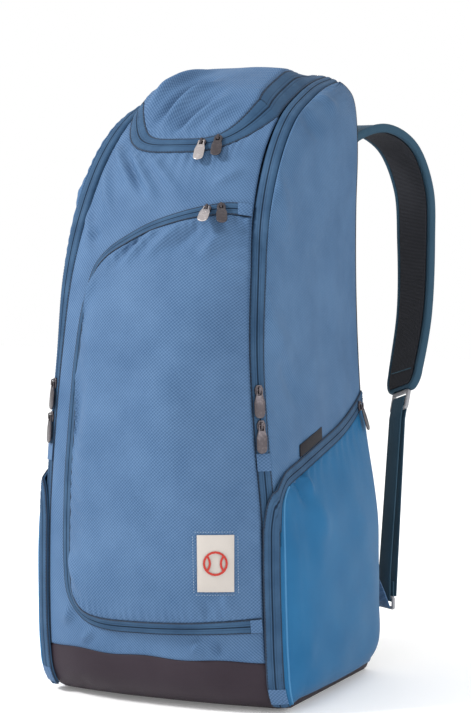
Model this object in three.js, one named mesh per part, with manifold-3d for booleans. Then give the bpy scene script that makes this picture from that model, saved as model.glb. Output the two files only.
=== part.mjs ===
// Tall racket backpack, zipped shut and standing on its own base.
// Millimetres. X runs across the bag, the front faces -Y, and the floor is Z = 0.

import * as THREE from 'three';
import Module from 'manifold-3d';
import { mergeVertices } from 'three/addons/utils/BufferGeometryUtils.js';

const wasm = await Module();
wasm.setup();

// Driving sizes of the body
const BODY_HEIGHT = 741;
const BODY_HALF_WIDTH = 144;
const BODY_DEPTH = 305;
const BACK_PLANE = 128;
const FRONT_CROWN = 29;
const SIDE_BULGE = 9.6;
const CORNER_TAPE = 23;

// Padded back: its rim and the band inside the rim are thinner, and its top is arched
const BACK_PAD = 9;
const BACK_INSET = 1;
const BACK_RISE = 9;
const BACK_RISE_FROM = 0.62;
const BACK_ARCH_SHAPE = 2.2;
const BACK_RIM = 0.35;
const BACK_BAND = 0.85;
const BACK_BAND_FROM = 0.75;
const BACK_STATIONS = [-0.005, 0.02, 0.10, 0.20, 0.30, 0.42, 0.54, 0.64, 0.73, 0.82, 0.90, 0.96, 1];
const BACK_COLUMNS = 10;

// Cloth and the gaps between sewn pieces
const CLOTH = 2.5;
const SKIN = 2;
const TAPE = 1.5;
const SEAM = 0.5;
const LAYER_GAP = 0.8;
const HARD_GAP = 0.3;

// Zip tapes and the pockets that they close
const LID_TAPE = 22;
const LID_PUFF = 7;
const LID_PUFF_SHAPE = { across: 0.3, low: 5, high: 5 };
const LID_LIFT = 20;
const LID_LIFT_REACH = { from: 0.735, full: 0.82, fade: 0.90 };
const POCKET_TAPE = 15.5;
const SIDE_TAPE = 16.5;
const POCKET_LIFT = 10;
const POCKET_DOME = 16;
const POCKET_DOME_SHAPE = { across: 0.6, up: 0.5 };
const POCKET_LIFT_FADE = { acrossFrom: 0.35, acrossTo: 1, upFrom: 0.45, upTo: 0.62, share: 0.6 };
const POCKET_EDGE = { share: 0.985, inset: 2 };
const SIDE_POCKET_DOME = 20;
const SIDE_POCKET_ROUND = { front: 6, back: 7, low: 9, high: 2.4 };
const CREASE_LIFT = 4.4;
const CREASE_REACH = 28;
const END_GAP = 0.6;
const END_THICK = 0.9;

// Sliders and pulls
const SLIDER_LENGTH = 12;
const SLIDER_WIDTH = 10;
const SLIDER_THICK = 3;
const BRIDGE_WIDTH = 2.6;
const BRIDGE_ROOM = 2.4;
const BRIDGE_THICK = 1.3;
const PULL_LENGTH = 33;
const PULL_WIDTH = 12.5;
const PULL_THICK = 1.6;

// Labels
const PATCH_WIDTH = 36.5;
const PATCH_HEIGHT = 65;
const PATCH_THICK = 1.2;
const MOTIF_RADIUS = 14;
const MOTIF_LINE = 2.4;
const MOTIF_THICK = 0.8;
const MOTIF_SEAM_SHARE = 1.35;
const MOTIF_SEGMENTS = 10;
const TAG_HEIGHT = 14;
const TAG_THICK = 1.2;

// Shoulder straps
const PAD_WIDTH = 60;
const PAD_THICK = 9;
const MESH_WIDTH = 48;
const MESH_THICK = 1.6;
const WEBBING_WIDTH = 24;
const WEBBING_THICK = 1.6;
const BUCKLE_WIDTH = 33;
const BUCKLE_LENGTH = 27;
const BUCKLE_THICK = 4;
const BUCKLE_BAR = 3.6;
const RING_LENGTH = 16;
const RING_BAR = 3.2;
const ANCHOR_ROOT = 42;

// The upright sections from the floor to the back of the top. Lengths are shares of the driving
// sizes: half, backHalf of BODY_HALF_WIDTH, reach of BODY_DEPTH, height, backHeight of BODY_HEIGHT,
// crown of FRONT_CROWN, bulge of SIDE_BULGE and tape of CORNER_TAPE. face turns the corner tape from
// the front towards the side, and lean tips the section from upright to flat, both in degrees.
const SECTION_COLUMNS = [
  'half', 'reach', 'height', 'crown', 'face', 'lean', 'tape', 'backHalf', 'backHeight', 'bulge',
];
const SECTIONS = [
  { station: -0.04, row: [0.933, 0.827, 0.000, 0.25, 42, 0, 0.70, 0.960, 0.000, 0.0] },
  { station: -0.02, row: [0.967, 0.896, 0.010, 0.55, 42, 0, 0.70, 0.993, 0.010, 0.2] },
  { station: 0.00, row: [0.980, 0.943, 0.031, 0.80, 42, 0, 0.70, 1.007, 0.031, 0.5] },
  { station: 0.05, row: [0.980, 0.975, 0.080, 0.97, 42, 0, 0.70, 1.020, 0.080, 0.8] },
  { station: 0.12, row: [0.973, 0.991, 0.162, 1.00, 42, 0, 0.70, 1.013, 0.162, 0.9] },
  { station: 0.22, row: [0.960, 0.994, 0.291, 0.97, 42, 0, 0.70, 0.987, 0.291, 0.9] },
  { station: 0.32, row: [0.907, 1.000, 0.415, 0.93, 41, 1, 0.70, 0.933, 0.415, 0.9] },
  { station: 0.43, row: [0.847, 0.987, 0.551, 0.90, 38, 6, 0.71, 0.887, 0.551, 0.8] },
  { station: 0.54, row: [0.807, 0.940, 0.674, 0.87, 20, 14, 0.76, 0.867, 0.676, 0.8] },
  { station: 0.63, row: [0.753, 0.868, 0.767, 0.87, 8, 24, 0.90, 0.867, 0.780, 0.9] },
  { station: 0.72, row: [0.708, 0.733, 0.859, 0.78, 6, 38, 1.00, 0.880, 0.872, 1.1] },
  { station: 0.80, row: [0.676, 0.563, 0.924, 0.26, 10, 54, 0.98, 0.867, 0.932, 1.1] },
  { station: 0.88, row: [0.650, 0.355, 0.965, 0.04, 18, 67, 0.88, 0.836, 0.964, 0.8] },
  { station: 0.95, row: [0.617, 0.167, 0.988, 0.06, 22, 77, 0.78, 0.782, 0.980, 0.4] },
  { station: 1.00, row: [0.583, 0.000, 1.000, 0.14, 22, 90, 0.74, 0.730, 0.989, 0.1] },
];
const FLOOR_STATION = SECTIONS[0].station;
const TOP_STATION = 1;
const CROWN_SHAPE = 2.6;
const BULGE_SHAPE = 0.8;

// How the pieces divide the body
const BASE_FRONT = 0.054;
const BASE_WAVE = 0.0015;
const BASE_LIP = -0.012;
const LID_SEAM_LOW = 0.707;
const LID_SEAM_RISE = 0.093;
const LID_SEAM_SHAPE = 3.3;
const LID_SIDE_STATION = LID_SEAM_LOW + LID_SEAM_RISE;
const FRONT_CELLS = 12;
const CORNER_CELLS = 2;
const SIDE_CELLS = 7;
const BACK_CELLS = 4;
const RISE_CELLS = 17;
const LEG_CELLS = 5;
const LID_CORNER_CELL = LEG_CELLS + 2;

// Middle line of the front pocket's zip: across is a share of the half width of the front.
const POCKET_LINE = [
  { across: 0.985, station: 0.634 }, { across: 0.78, station: 0.631 },
  { across: 0.56, station: 0.623 }, { across: 0.27, station: 0.611 },
  { across: -0.02, station: 0.597 }, { across: -0.26, station: 0.580 },
  { across: -0.46, station: 0.563 }, { across: -0.59, station: 0.543 },
  { across: -0.645, station: 0.515 }, { across: -0.69, station: 0.480 },
  { across: -0.72, station: 0.420 }, { across: -0.735, station: 0.340 },
  { across: -0.745, station: 0.250 }, { across: -0.735, station: 0.170 },
  { across: -0.69, station: 0.128 }, { across: -0.56, station: 0.106 },
  { across: -0.38, station: 0.097 }, { across: 0.00, station: 0.096 },
  { across: 0.45, station: 0.099 }, { across: 0.985, station: 0.104 },
];
const POCKET_TOP_CELLS = 11;
const POCKET_LEFT_CELLS = 15;
const POCKET_SIDES = { left: -0.68, right: 1.0, bottom: 0.10, top: 0.63 };

// Middle line of the side pocket's zip: lane 1 to 2 crosses the corner tape, 2 to 3 the side.
const SIDE_LINE = [
  { lane: 1.52, station: -0.014 }, { lane: 1.52, station: 0.10 },
  { lane: 1.52, station: 0.19 }, { lane: 1.66, station: 0.228 },
  { lane: 2.012, station: 0.256 }, { lane: 2.09, station: 0.2745 },
  { lane: 2.23, station: 0.288 }, { lane: 2.43, station: 0.3045 },
  { lane: 2.70, station: 0.3250 }, { lane: 2.93, station: 0.349 },
  { lane: 3.00, station: 0.358 },
];
const SIDE_FRONT_CELLS = 12;
const SIDE_TOP_CELLS = 11;

// Colours, for the plain model only
const DENIM = new THREE.MeshStandardMaterial({ color: 0x587fa8, roughness: 0.85, metalness: 0 });
const BRIGHT = new THREE.MeshStandardMaterial({ color: 0x3a7fb4, roughness: 0.7, metalness: 0 });
const TEAL = new THREE.MeshStandardMaterial({ color: 0x35607f, roughness: 0.8, metalness: 0 });
const CHARCOAL = new THREE.MeshStandardMaterial({ color: 0x332f35, roughness: 0.8, metalness: 0 });
const MESH_BLACK = new THREE.MeshStandardMaterial({ color: 0x1f2226, roughness: 0.95, metalness: 0 });
const CREAM = new THREE.MeshStandardMaterial({ color: 0xd9d2c6, roughness: 0.8, metalness: 0 });
const RED = new THREE.MeshStandardMaterial({ color: 0xb8402f, roughness: 0.8, metalness: 0 });
const GUNMETAL = new THREE.MeshStandardMaterial({ color: 0x55555a, roughness: 0.35, metalness: 1 });
const SILVER = new THREE.MeshStandardMaterial({ color: 0xc4c4c6, roughness: 0.3, metalness: 1 });
const PALE_PLASTIC = new THREE.MeshStandardMaterial({ color: 0xb9bcc0, roughness: 0.5, metalness: 0 });

const group = new THREE.Group();

// Adds one finished piece to the bag.
function addPiece(name, geometry, material) {
  const mesh = new THREE.Mesh(geometry, material);
  mesh.name = name;
  group.add(mesh);
  return mesh;
}

// Fullness from 0 at both edges to 1 in the middle, with its own roundness at each edge.
function puffed(share, nearRound, farRound) {
  const away = 2 * share - 1;
  return 1 - Math.abs(away) ** (away < 0 ? nearRound : farRound);
}

// Smooth step from 0 to 1 between two values.
function ease(value, start, end) {
  return THREE.MathUtils.smoothstep(value, start, end);
}

// Section of the body, in millimetres and radians, at a station between floor and top.
const sectionCurve = new THREE.CubicInterpolant(
  SECTIONS.map((section) => section.station),
  SECTIONS.flatMap((section) => section.row),
  SECTION_COLUMNS.length,
  new Float64Array(SECTION_COLUMNS.length),
);

function sectionAt(station) {
  const place = THREE.MathUtils.clamp(station, FLOOR_STATION, TOP_STATION);
  const share = Object.fromEntries(
    [...sectionCurve.evaluate(place)].map((value, index) => [SECTION_COLUMNS[index], value]),
  );
  const face = THREE.MathUtils.degToRad(share.face);
  const lean = THREE.MathUtils.degToRad(share.lean);
  const half = share.half * BODY_HALF_WIDTH;
  const front = new THREE.Vector3(half, BACK_PLANE - share.reach * BODY_DEPTH, share.height * BODY_HEIGHT);
  const inward = new THREE.Vector3(0, Math.cos(lean), -Math.sin(lean));
  const tape = share.tape * CORNER_TAPE;
  const corner = front.clone().addScaledVector(inward, tape * Math.sin(face));
  corner.x += tape * Math.cos(face);
  const back = new THREE.Vector3(
    share.backHalf * BODY_HALF_WIDTH, BACK_PLANE, share.backHeight * BODY_HEIGHT,
  );
  return {
    half, tape, front, inward, corner, back,
    crown: share.crown * FRONT_CROWN,
    bulge: share.bulge * SIDE_BULGE,
    depth: corner.distanceTo(back),
  };
}

// Distance round the body from the middle of the front. Lane 0 to 1 is half of the front, 1 to 2
// the corner tape, 2 to 3 the side and 3 to 4 half of the back.
function girthAt(lane, station) {
  const section = sectionAt(station);
  const whole = Math.abs(lane);
  let girth = Math.min(whole, 1) * section.half;
  girth += THREE.MathUtils.clamp(whole - 1, 0, 1) * section.tape;
  girth += THREE.MathUtils.clamp(whole - 2, 0, 1) * section.depth;
  girth += THREE.MathUtils.clamp(whole - 3, 0, 1) * section.back.x;
  return Math.sign(lane) * girth;
}

// Point of the body's outer surface.
function bodyPoint(girth, station) {
  const section = sectionAt(station);
  const side = girth < 0 ? -1 : 1;
  let left = Math.abs(girth);
  let point;
  if (left <= section.half) {
    const crown = section.crown * (1 - (left / section.half) ** CROWN_SHAPE);
    point = section.front.clone().addScaledVector(section.inward, -crown);
    point.x = left;
  } else if ((left -= section.half) <= section.tape) {
    point = section.front.clone().lerp(section.corner, left / section.tape);
  } else if ((left -= section.tape) <= section.depth) {
    const share = left / section.depth;
    point = section.corner.clone().lerp(section.back, share);
    point.x += section.bulge * (4 * share * (1 - share)) ** BULGE_SHAPE;
  } else {
    point = section.back.clone();
    point.x -= left - section.depth;
  }
  point.x *= side;
  return point;
}

// Outward direction. Next to a crease it is the crease's own, so that neighbours share a mitre.
const BLEND = 1.2;
const STATION_STEP = 0.002;

function bodyNormal(place, station) {
  const creases = [1, 2, 3].map((lane) => girthAt(lane, station) * (place < 0 ? -1 : 1));
  const girth = creases.find((crease) => Math.abs(crease - place) < BLEND) ?? place;
  const across = bodyPoint(girth + BLEND, station).sub(bodyPoint(girth - BLEND, station));
  const low = Math.max(station - STATION_STEP, FLOOR_STATION);
  const high = Math.min(station + STATION_STEP, TOP_STATION);
  const share = girth / girthAt(4, station);
  const up = bodyPoint(share * girthAt(4, high), high).sub(bodyPoint(share * girthAt(4, low), low));
  return across.cross(up).normalize();
}

// Point at a height over the body's surface, never behind the back seam.
function onBody(girth, station, height) {
  const point = bodyPoint(girth, station).addScaledVector(bodyNormal(girth, station), height);
  point.y = Math.min(point.y, BACK_PLANE);
  return point;
}

// Millimetres that one whole station spans at a place on the body.
function stationLength(girth, station) {
  const low = Math.max(station - STATION_STEP, FLOOR_STATION);
  const high = Math.min(station + STATION_STEP, TOP_STATION);
  return bodyPoint(girth, high).distanceTo(bodyPoint(girth, low)) / (high - low);
}

// Closed solid between an outer and an inner grid of points.
function shellGeometry(outer, inner) {
  const rows = outer.length;
  const columns = outer[0].length;
  const count = rows * columns;
  const faces = [];
  const quad = (a, b, c, d) => faces.push(a, b, c, a, c, d);
  const at = (row, column) => row * columns + column;
  for (let row = 0; row < rows - 1; row += 1) {
    for (let column = 0; column < columns - 1; column += 1) {
      const corners = [at(row, column), at(row, column + 1), at(row + 1, column + 1), at(row + 1, column)];
      quad(...corners);
      quad(...corners.map((index) => index + count).reverse());
    }
  }
  const rim = (from, to) => quad(from, to, to + count, from + count);
  for (let column = 0; column < columns - 1; column += 1) {
    rim(at(0, column + 1), at(0, column));
    rim(at(rows - 1, column), at(rows - 1, column + 1));
  }
  for (let row = 0; row < rows - 1; row += 1) {
    rim(at(row, 0), at(row + 1, 0));
    rim(at(row + 1, columns - 1), at(row, columns - 1));
  }
  return solidFrom([...outer.flat(), ...inner.flat()], faces);
}

// Indexed geometry with its faces turned outwards.
function solidFrom(points, faces) {
  let volume = 0;
  const normal = new THREE.Vector3();
  for (let face = 0; face < faces.length; face += 3) {
    const [a, b, c] = [0, 1, 2].map((corner) => points[faces[face + corner]]);
    volume += a.dot(normal.crossVectors(b, c));
  }
  const order = volume < 0 ? [...faces].reverse() : faces;
  const geometry = new THREE.BufferGeometry().setFromPoints(points);
  geometry.setIndex(order);
  return geometry;
}

// Cloth over a grid of places { girth, station, height }, of the given thickness.
function clothGeometry(places, thickness) {
  const outer = places.map((row) => row.map((p) => onBody(p.girth, p.station, p.height)));
  const inner = places.map((row) => row.map((p) => onBody(p.girth, p.station, p.height - thickness)));
  return shellGeometry(outer, inner);
}

// The same grid on the other side of the bag.
function mirrored(places) {
  return places.map((row) => row.map((p) => ({ ...p, girth: -p.girth })));
}

// Line of places moved sideways over the surface by a distance.
function movedLine(line, distance) {
  return line.map((place, index) => {
    const before = line[Math.max(index - 1, 0)];
    const after = line[Math.min(index + 1, line.length - 1)];
    const length = stationLength(place.girth, place.station);
    const along = new THREE.Vector2(after.girth - before.girth, (after.station - before.station) * length);
    along.normalize();
    return {
      girth: place.girth - along.y * distance,
      station: Math.min(place.station + (along.x * distance) / length, TOP_STATION),
    };
  });
}

// Grid of places that fills a four-sided outline: bottom and top run left to right, left and
// right run bottom to top.
function filledOutline(bottom, top, left, right) {
  const value = (key, row, column) => {
    const p = column / (bottom.length - 1);
    const q = row / (left.length - 1);
    const ruled = (1 - q) * bottom[column][key] + q * top[column][key]
      + (1 - p) * left[row][key] + p * right[row][key];
    const corners = (1 - p) * (1 - q) * bottom[0][key] + p * (1 - q) * bottom.at(-1)[key]
      + (1 - p) * q * top[0][key] + p * q * top.at(-1)[key];
    return ruled - corners;
  };
  return left.map((unused, row) => bottom.map((ignored, column) => ({
    girth: value('girth', row, column), station: value('station', row, column),
  })));
}

// Straight line of places with both ends.
function straightLine(from, to, cells) {
  return Array.from({ length: cells + 1 }, (unused, index) => ({
    girth: THREE.MathUtils.lerp(from.girth, to.girth, index / cells),
    station: THREE.MathUtils.lerp(from.station, to.station, index / cells),
  }));
}

// Even places along a smooth line through a few knots. Stations are scaled to about millimetres.
const STATION_SCALE = 1000;
const LINE_DIVISIONS = 400;

function smoothLine(knots, cells) {
  const points = knots.map(({ girth, station }) => new THREE.Vector3(girth, station * STATION_SCALE, 0));
  const curve = new THREE.CatmullRomCurve3(points, false, 'centripetal');
  curve.arcLengthDivisions = LINE_DIVISIONS;
  return curve.getSpacedPoints(cells).map((point) => ({ girth: point.x, station: point.y / STATION_SCALE }));
}

// Places where the base ends and where the lid's tape begins
function baseTop(lane) {
  const whole = Math.abs(lane);
  const front = BASE_FRONT + BASE_WAVE * Math.cos(3 * Math.PI * Math.min(whole, 1));
  const step = (whole - 2) * SIDE_CELLS;
  return THREE.MathUtils.lerp(front, BASE_LIP, THREE.MathUtils.clamp(step / 2, 0, 1));
}

function lidSeam(across) {
  return LID_SEAM_LOW + LID_SEAM_RISE * Math.abs(across) ** LID_SEAM_SHAPE;
}

const frontLanes = Array.from({ length: FRONT_CELLS + 1 }, (unused, i) => (2 * i) / FRONT_CELLS - 1);
const riseShares = Array.from({ length: RISE_CELLS + 1 }, (unused, i) => i / RISE_CELLS);
const legStations = Array.from({ length: LEG_CELLS + 1 }, (unused, i) => (
  THREE.MathUtils.lerp(LID_SIDE_STATION, TOP_STATION, i / LEG_CELLS)
));

// Station on a column of the front cloth, from the base seam to the lid seam.
function frontStation(lane, share) {
  return THREE.MathUtils.lerp(baseTop(lane), lidSeam(lane), share);
}

// Stations shared by everything that meets along the corner seams
const seamStations = [
  ...riseShares.map((share) => frontStation(1, share)),
  ...legStations.slice(1),
];

// Station moved up or down by half a seam.
function seamMoved(girth, station, direction) {
  return station + (direction * SEAM) / 2 / stationLength(girth, station);
}

function frontPanelPlaces() {
  return riseShares.map((share, row) => frontLanes.map((lane) => {
    let station = frontStation(lane, share);
    const girth = lane * (sectionAt(station).half - SEAM / 2);
    if (row === 0) station = seamMoved(girth, station, 1);
    if (row === RISE_CELLS) station = seamMoved(girth, station, -1);
    return { girth, station, height: 0 };
  }));
}

// Outer edge of the lid's tape: down one corner seam, round the front and up the other.
function lidSeamLine() {
  const leg = (side) => legStations.slice(1).map((station) => ({
    girth: side * (sectionAt(station).half - SEAM / 2), station,
  }));
  const round = frontLanes.map((lane) => {
    const station = lidSeam(lane);
    const girth = lane * (sectionAt(station).half - SEAM / 2);
    return { girth, station: seamMoved(girth, station, 1) };
  });
  return [...leg(-1).reverse(), ...round, ...leg(1)];
}

// Grid between a line and copies of it moved sideways, at heights given by a function.
function tapePlaces(line, offsets, heightAt) {
  return offsets.map((offset) => movedLine(line, offset).map((place) => (
    { ...place, height: heightAt(place, offset) }
  )));
}

// Height of the lid's seam over the body, which is raised along both legs
function lidLift(station) {
  const { from, full, fade } = LID_LIFT_REACH;
  return LID_LIFT * ease(station, from, full) * (1 - ease(station, fade, TOP_STATION));
}

function lidPlaces() {
  const edge = movedLine(lidSeamLine(), LID_TAPE + SEAM);
  const last = edge.length - 1;
  const left = edge.slice(0, LID_CORNER_CELL + 1).reverse();
  const right = edge.slice(last - LID_CORNER_CELL);
  const bottom = edge.slice(LID_CORNER_CELL, last - LID_CORNER_CELL + 1);
  const top = straightLine(left.at(-1), right.at(-1), bottom.length - 1);
  return filledOutline(bottom, top, left, right).map((row, i, rows) => row.map((place, j) => {
    const p = j / (row.length - 1);
    const q = i / (rows.length - 1);
    const { across, low, high } = LID_PUFF_SHAPE;
    const puff = (4 * p * (1 - p)) ** across * (1 - (1 - q) ** low) * (1 - q ** high);
    return { ...place, height: lidLift(place.station) + LID_PUFF * puff };
  }));
}

// Main zip up one front corner and over the top
function mainZipPlaces() {
  return seamStations.map((station, row) => {
    const low = row === 0 ? seamMoved(0, station, 1) : station;
    return Array.from({ length: CORNER_CELLS + 1 }, (unused, i) => {
      const gap = SEAM * (0.5 - i / CORNER_CELLS);
      return { girth: girthAt(1 + i / CORNER_CELLS, low) + gap, station: low, height: 0 };
    });
  });
}

function sidePanelPlaces() {
  return seamStations.map((station, row) => (
    Array.from({ length: SIDE_CELLS + 1 }, (unused, i) => {
      const lane = 2 + i / SIDE_CELLS;
      const place = row === 0 ? baseTop(lane) : station;
      const girth = girthAt(lane, place) + (i === 0 ? SEAM / 2 : 0);
      return { girth, station: row === 0 ? seamMoved(girth, place, 1) : place, height: 0 };
    })
  ));
}

// Padded back: a flat plate with a rounded, arched outline and a domed rear face
function backPanelGeometry() {
  const last = BACK_STATIONS.length - 1;
  const padShare = (across, row) => {
    if (row === 0 || row === last || Math.abs(across) === 1) return BACK_RIM;
    return Math.abs(across) > BACK_BAND_FROM || row === 1 || row === last - 1 ? BACK_BAND : 1;
  };
  const grid = (rear) => BACK_STATIONS.map((station, row) => {
    const { back } = sectionAt(station);
    const rise = BACK_RISE * ease(station, BACK_RISE_FROM, TOP_STATION);
    return Array.from({ length: BACK_COLUMNS + 1 }, (unused, i) => {
      const across = (2 * i) / BACK_COLUMNS - 1;
      const depth = rear ? BACK_PAD * padShare(across, row) : 0;
      return new THREE.Vector3(
        across * (back.x - BACK_INSET),
        BACK_PLANE + SEAM + depth,
        back.z + rise * (1 - Math.abs(across) ** BACK_ARCH_SHAPE),
      );
    });
  });
  return shellGeometry(grid(true), grid(false));
}

// Base: a tray with a flat floor, a deep front wall and low lips at the sides and back
function baseGeometry() {
  const halfLanes = [
    ...Array.from({ length: FRONT_CELLS / 2 }, (unused, i) => (2 * i) / FRONT_CELLS),
    ...Array.from({ length: CORNER_CELLS }, (unused, i) => 1 + i / CORNER_CELLS),
    ...Array.from({ length: SIDE_CELLS }, (unused, i) => 2 + i / SIDE_CELLS),
    ...Array.from({ length: BACK_CELLS }, (unused, i) => 3 + i / BACK_CELLS),
  ];
  const wallShares = [0, 0.16, 0.34, 0.62, 1];
  const half = halfLanes.length;
  const lanes = [...halfLanes, 4, ...halfLanes.slice(1).reverse().map((lane) => -lane)];
  const wall = (depth) => wallShares.map((share, row) => lanes.map((lane) => {
    const top = baseTop(lane);
    let station = THREE.MathUtils.lerp(FLOOR_STATION, top, share);
    const girth = girthAt(lane, station);
    if (row === wallShares.length - 1) station = seamMoved(girth, station, -1);
    const point = onBody(girth, station, -depth);
    if (row === 0) point.z = depth;
    else point.z = Math.max(point.z, depth + row);
    return point;
  }));
  const outer = wall(0);
  const inner = wall(CLOTH);
  for (const point of outer[0]) point.z = 0;
  const columns = lanes.length;
  const count = columns * wallShares.length;
  const faces = [];
  const quad = (a, b, c, d) => faces.push(a, b, c, a, c, d);
  const at = (row, column) => row * columns + (column % columns);
  for (let row = 0; row < wallShares.length - 1; row += 1) {
    for (let column = 0; column < columns; column += 1) {
      const corners = [at(row, column), at(row, column + 1), at(row + 1, column + 1), at(row + 1, column)];
      quad(...corners);
      quad(...corners.map((index) => index + count).reverse());
    }
  }
  const top = wallShares.length - 1;
  for (let column = 0; column < columns; column += 1) {
    const [from, to] = [at(top, column), at(top, column + 1)];
    quad(from, to, to + count, from + count);
  }
  // Floor as rungs between matching points on the left and on the right
  for (let rung = 0; rung < half; rung += 1) {
    const right = [rung, rung + 1];
    const left = [(columns - rung) % columns, columns - rung - 1];
    const outside = [left[0], left[1], right[1], right[0]].filter((v, i, all) => all.indexOf(v) === i);
    const inside = outside.map((index) => index + count).reverse();
    for (const ring of [outside, inside]) {
      faces.push(ring[0], ring[1], ring[2]);
      if (ring.length === 4) faces.push(ring[0], ring[2], ring[3]);
    }
  }
  return solidFrom([...outer.flat(), ...inner.flat()], faces);
}

// Height of the front pocket's skin over the front cloth
function pocketHeight({ girth, station }) {
  const across = girth / sectionAt(station).half;
  const { left, right, bottom, top } = POCKET_SIDES;
  const p = THREE.MathUtils.clamp((across - left) / (right - left), 0, 1);
  const q = THREE.MathUtils.clamp((station - bottom) / (top - bottom), 0, 1);
  const { acrossFrom, acrossTo, upFrom, upTo, share } = POCKET_LIFT_FADE;
  const lift = (1 - ease(across, acrossFrom, acrossTo)) * (1 - share * ease(station, upFrom, upTo));
  const dome = (4 * p * (1 - p)) ** POCKET_DOME_SHAPE.across * (4 * q * (1 - q)) ** POCKET_DOME_SHAPE.up;
  return LAYER_GAP + SKIN + POCKET_LIFT * lift + POCKET_DOME * dome;
}

const pocketCells = 2 * POCKET_TOP_CELLS + POCKET_LEFT_CELLS;
const pocketLine = smoothLine(
  POCKET_LINE.map(({ across, station }) => ({ girth: across * sectionAt(station).half, station })),
  pocketCells,
);

function pocketTapeHeight(place, offset) {
  const outer = LAYER_GAP + TAPE;
  return THREE.MathUtils.lerp(outer, pocketHeight(place), (offset / POCKET_TAPE) + 0.5);
}

function frontPocketPlaces() {
  const edge = movedLine(pocketLine, POCKET_TAPE / 2 + SEAM);
  const top = edge.slice(0, POCKET_TOP_CELLS + 1).reverse();
  const left = edge.slice(POCKET_TOP_CELLS, POCKET_TOP_CELLS + POCKET_LEFT_CELLS + 1).reverse();
  const bottom = edge.slice(POCKET_TOP_CELLS + POCKET_LEFT_CELLS);
  const right = straightLine(bottom.at(-1), top.at(-1), POCKET_LEFT_CELLS);
  right.forEach((place, row) => {
    if (row > 0 && row < POCKET_LEFT_CELLS) {
      const { half } = sectionAt(place.station);
      place.girth = Math.min(POCKET_EDGE.share * half, half - POCKET_EDGE.inset);
    }
  });
  return filledOutline(bottom, top, left, right).map((row) => (
    row.map((place) => ({ ...place, height: pocketHeight(place) }))
  ));
}

// Side pocket's zip: up the corner and diagonally across the side to the back seam
const sideLine = smoothLine(
  SIDE_LINE.map(({ lane, station }) => ({ girth: girthAt(lane, station), station })),
  SIDE_FRONT_CELLS + SIDE_TOP_CELLS,
);

function beforeBack(place) {
  const limit = girthAt(3, place.station) - HARD_GAP;
  return { ...place, girth: Math.min(place.girth, limit) };
}

// Cloth that crosses the corner seam stands a little off it.
function creaseLift({ girth, station }) {
  const distance = Math.abs(girth - girthAt(2, station));
  return CREASE_LIFT * Math.max(0, 1 - distance / CREASE_REACH);
}

function sideTapePlaces() {
  const offsets = [-SIDE_TAPE / 2, 0, SIDE_TAPE / 2];
  return tapePlaces(sideLine, offsets, (place) => LAYER_GAP + TAPE + creaseLift(place))
    .map((row) => row.map(beforeBack));
}

function sidePocketPlaces() {
  const edge = movedLine(sideLine, -(SIDE_TAPE / 2 + SEAM)).map(beforeBack);
  const left = edge.slice(0, SIDE_FRONT_CELLS + 1);
  const top = edge.slice(SIDE_FRONT_CELLS);
  const heel = { station: left[0].station, girth: girthAt(3, left[0].station) - HARD_GAP };
  const bottom = straightLine(left[0], heel, SIDE_TOP_CELLS);
  const right = straightLine(heel, top.at(-1), SIDE_FRONT_CELLS).map((place) => (
    { ...place, girth: girthAt(3, place.station) - HARD_GAP }
  ));
  return filledOutline(bottom, top, left, right).map((row, i) => row.map((place, j) => {
    const p = j / (row.length - 1);
    const q = i / SIDE_FRONT_CELLS;
    const { front, back, low, high } = SIDE_POCKET_ROUND;
    const dome = SIDE_POCKET_DOME * puffed(p, front, back) * puffed(q, low, high);
    return { ...place, height: LAYER_GAP + SKIN + creaseLift(place) + dome };
  }));
}

// Solid for joining and cutting, from a closed geometry, and back again
function toSolid(geometry) {
  const bare = geometry.clone();
  bare.deleteAttribute('normal');
  bare.deleteAttribute('uv');
  const merged = mergeVertices(bare.index ? bare.toNonIndexed() : bare);
  const vertProperties = new Float32Array(merged.attributes.position.array);
  const triVerts = new Uint32Array(merged.index.array);
  return new wasm.Manifold(new wasm.Mesh({ numProp: 3, vertProperties, triVerts }));
}

function fromSolid(solid) {
  const { vertProperties, triVerts } = solid.getMesh();
  const geometry = new THREE.BufferGeometry();
  geometry.setAttribute('position', new THREE.BufferAttribute(vertProperties, 3));
  geometry.setIndex(new THREE.BufferAttribute(triVerts, 1));
  return geometry;
}

// Plate cut to an outline, lying on the XY plane
function plateGeometry(shape, thickness, curveSegments) {
  return new THREE.ExtrudeGeometry(shape, { depth: thickness, bevelEnabled: false, curveSegments });
}

// Slider: a tapered body with a bridge along it. The pull hangs towards +Y and +Z points outwards.
const BRIDGE_BACK = -4.6;
const BRIDGE_FRONT = 3.9;
const SLIDER_SINK = 0.5;
const SLIDER_OUTLINE = [
  [-0.55, -1], [0.55, -1], [1, -0.35], [1, 0.35], [0.75, 1], [-0.75, 1], [-1, 0.35], [-1, -0.35],
];

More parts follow.
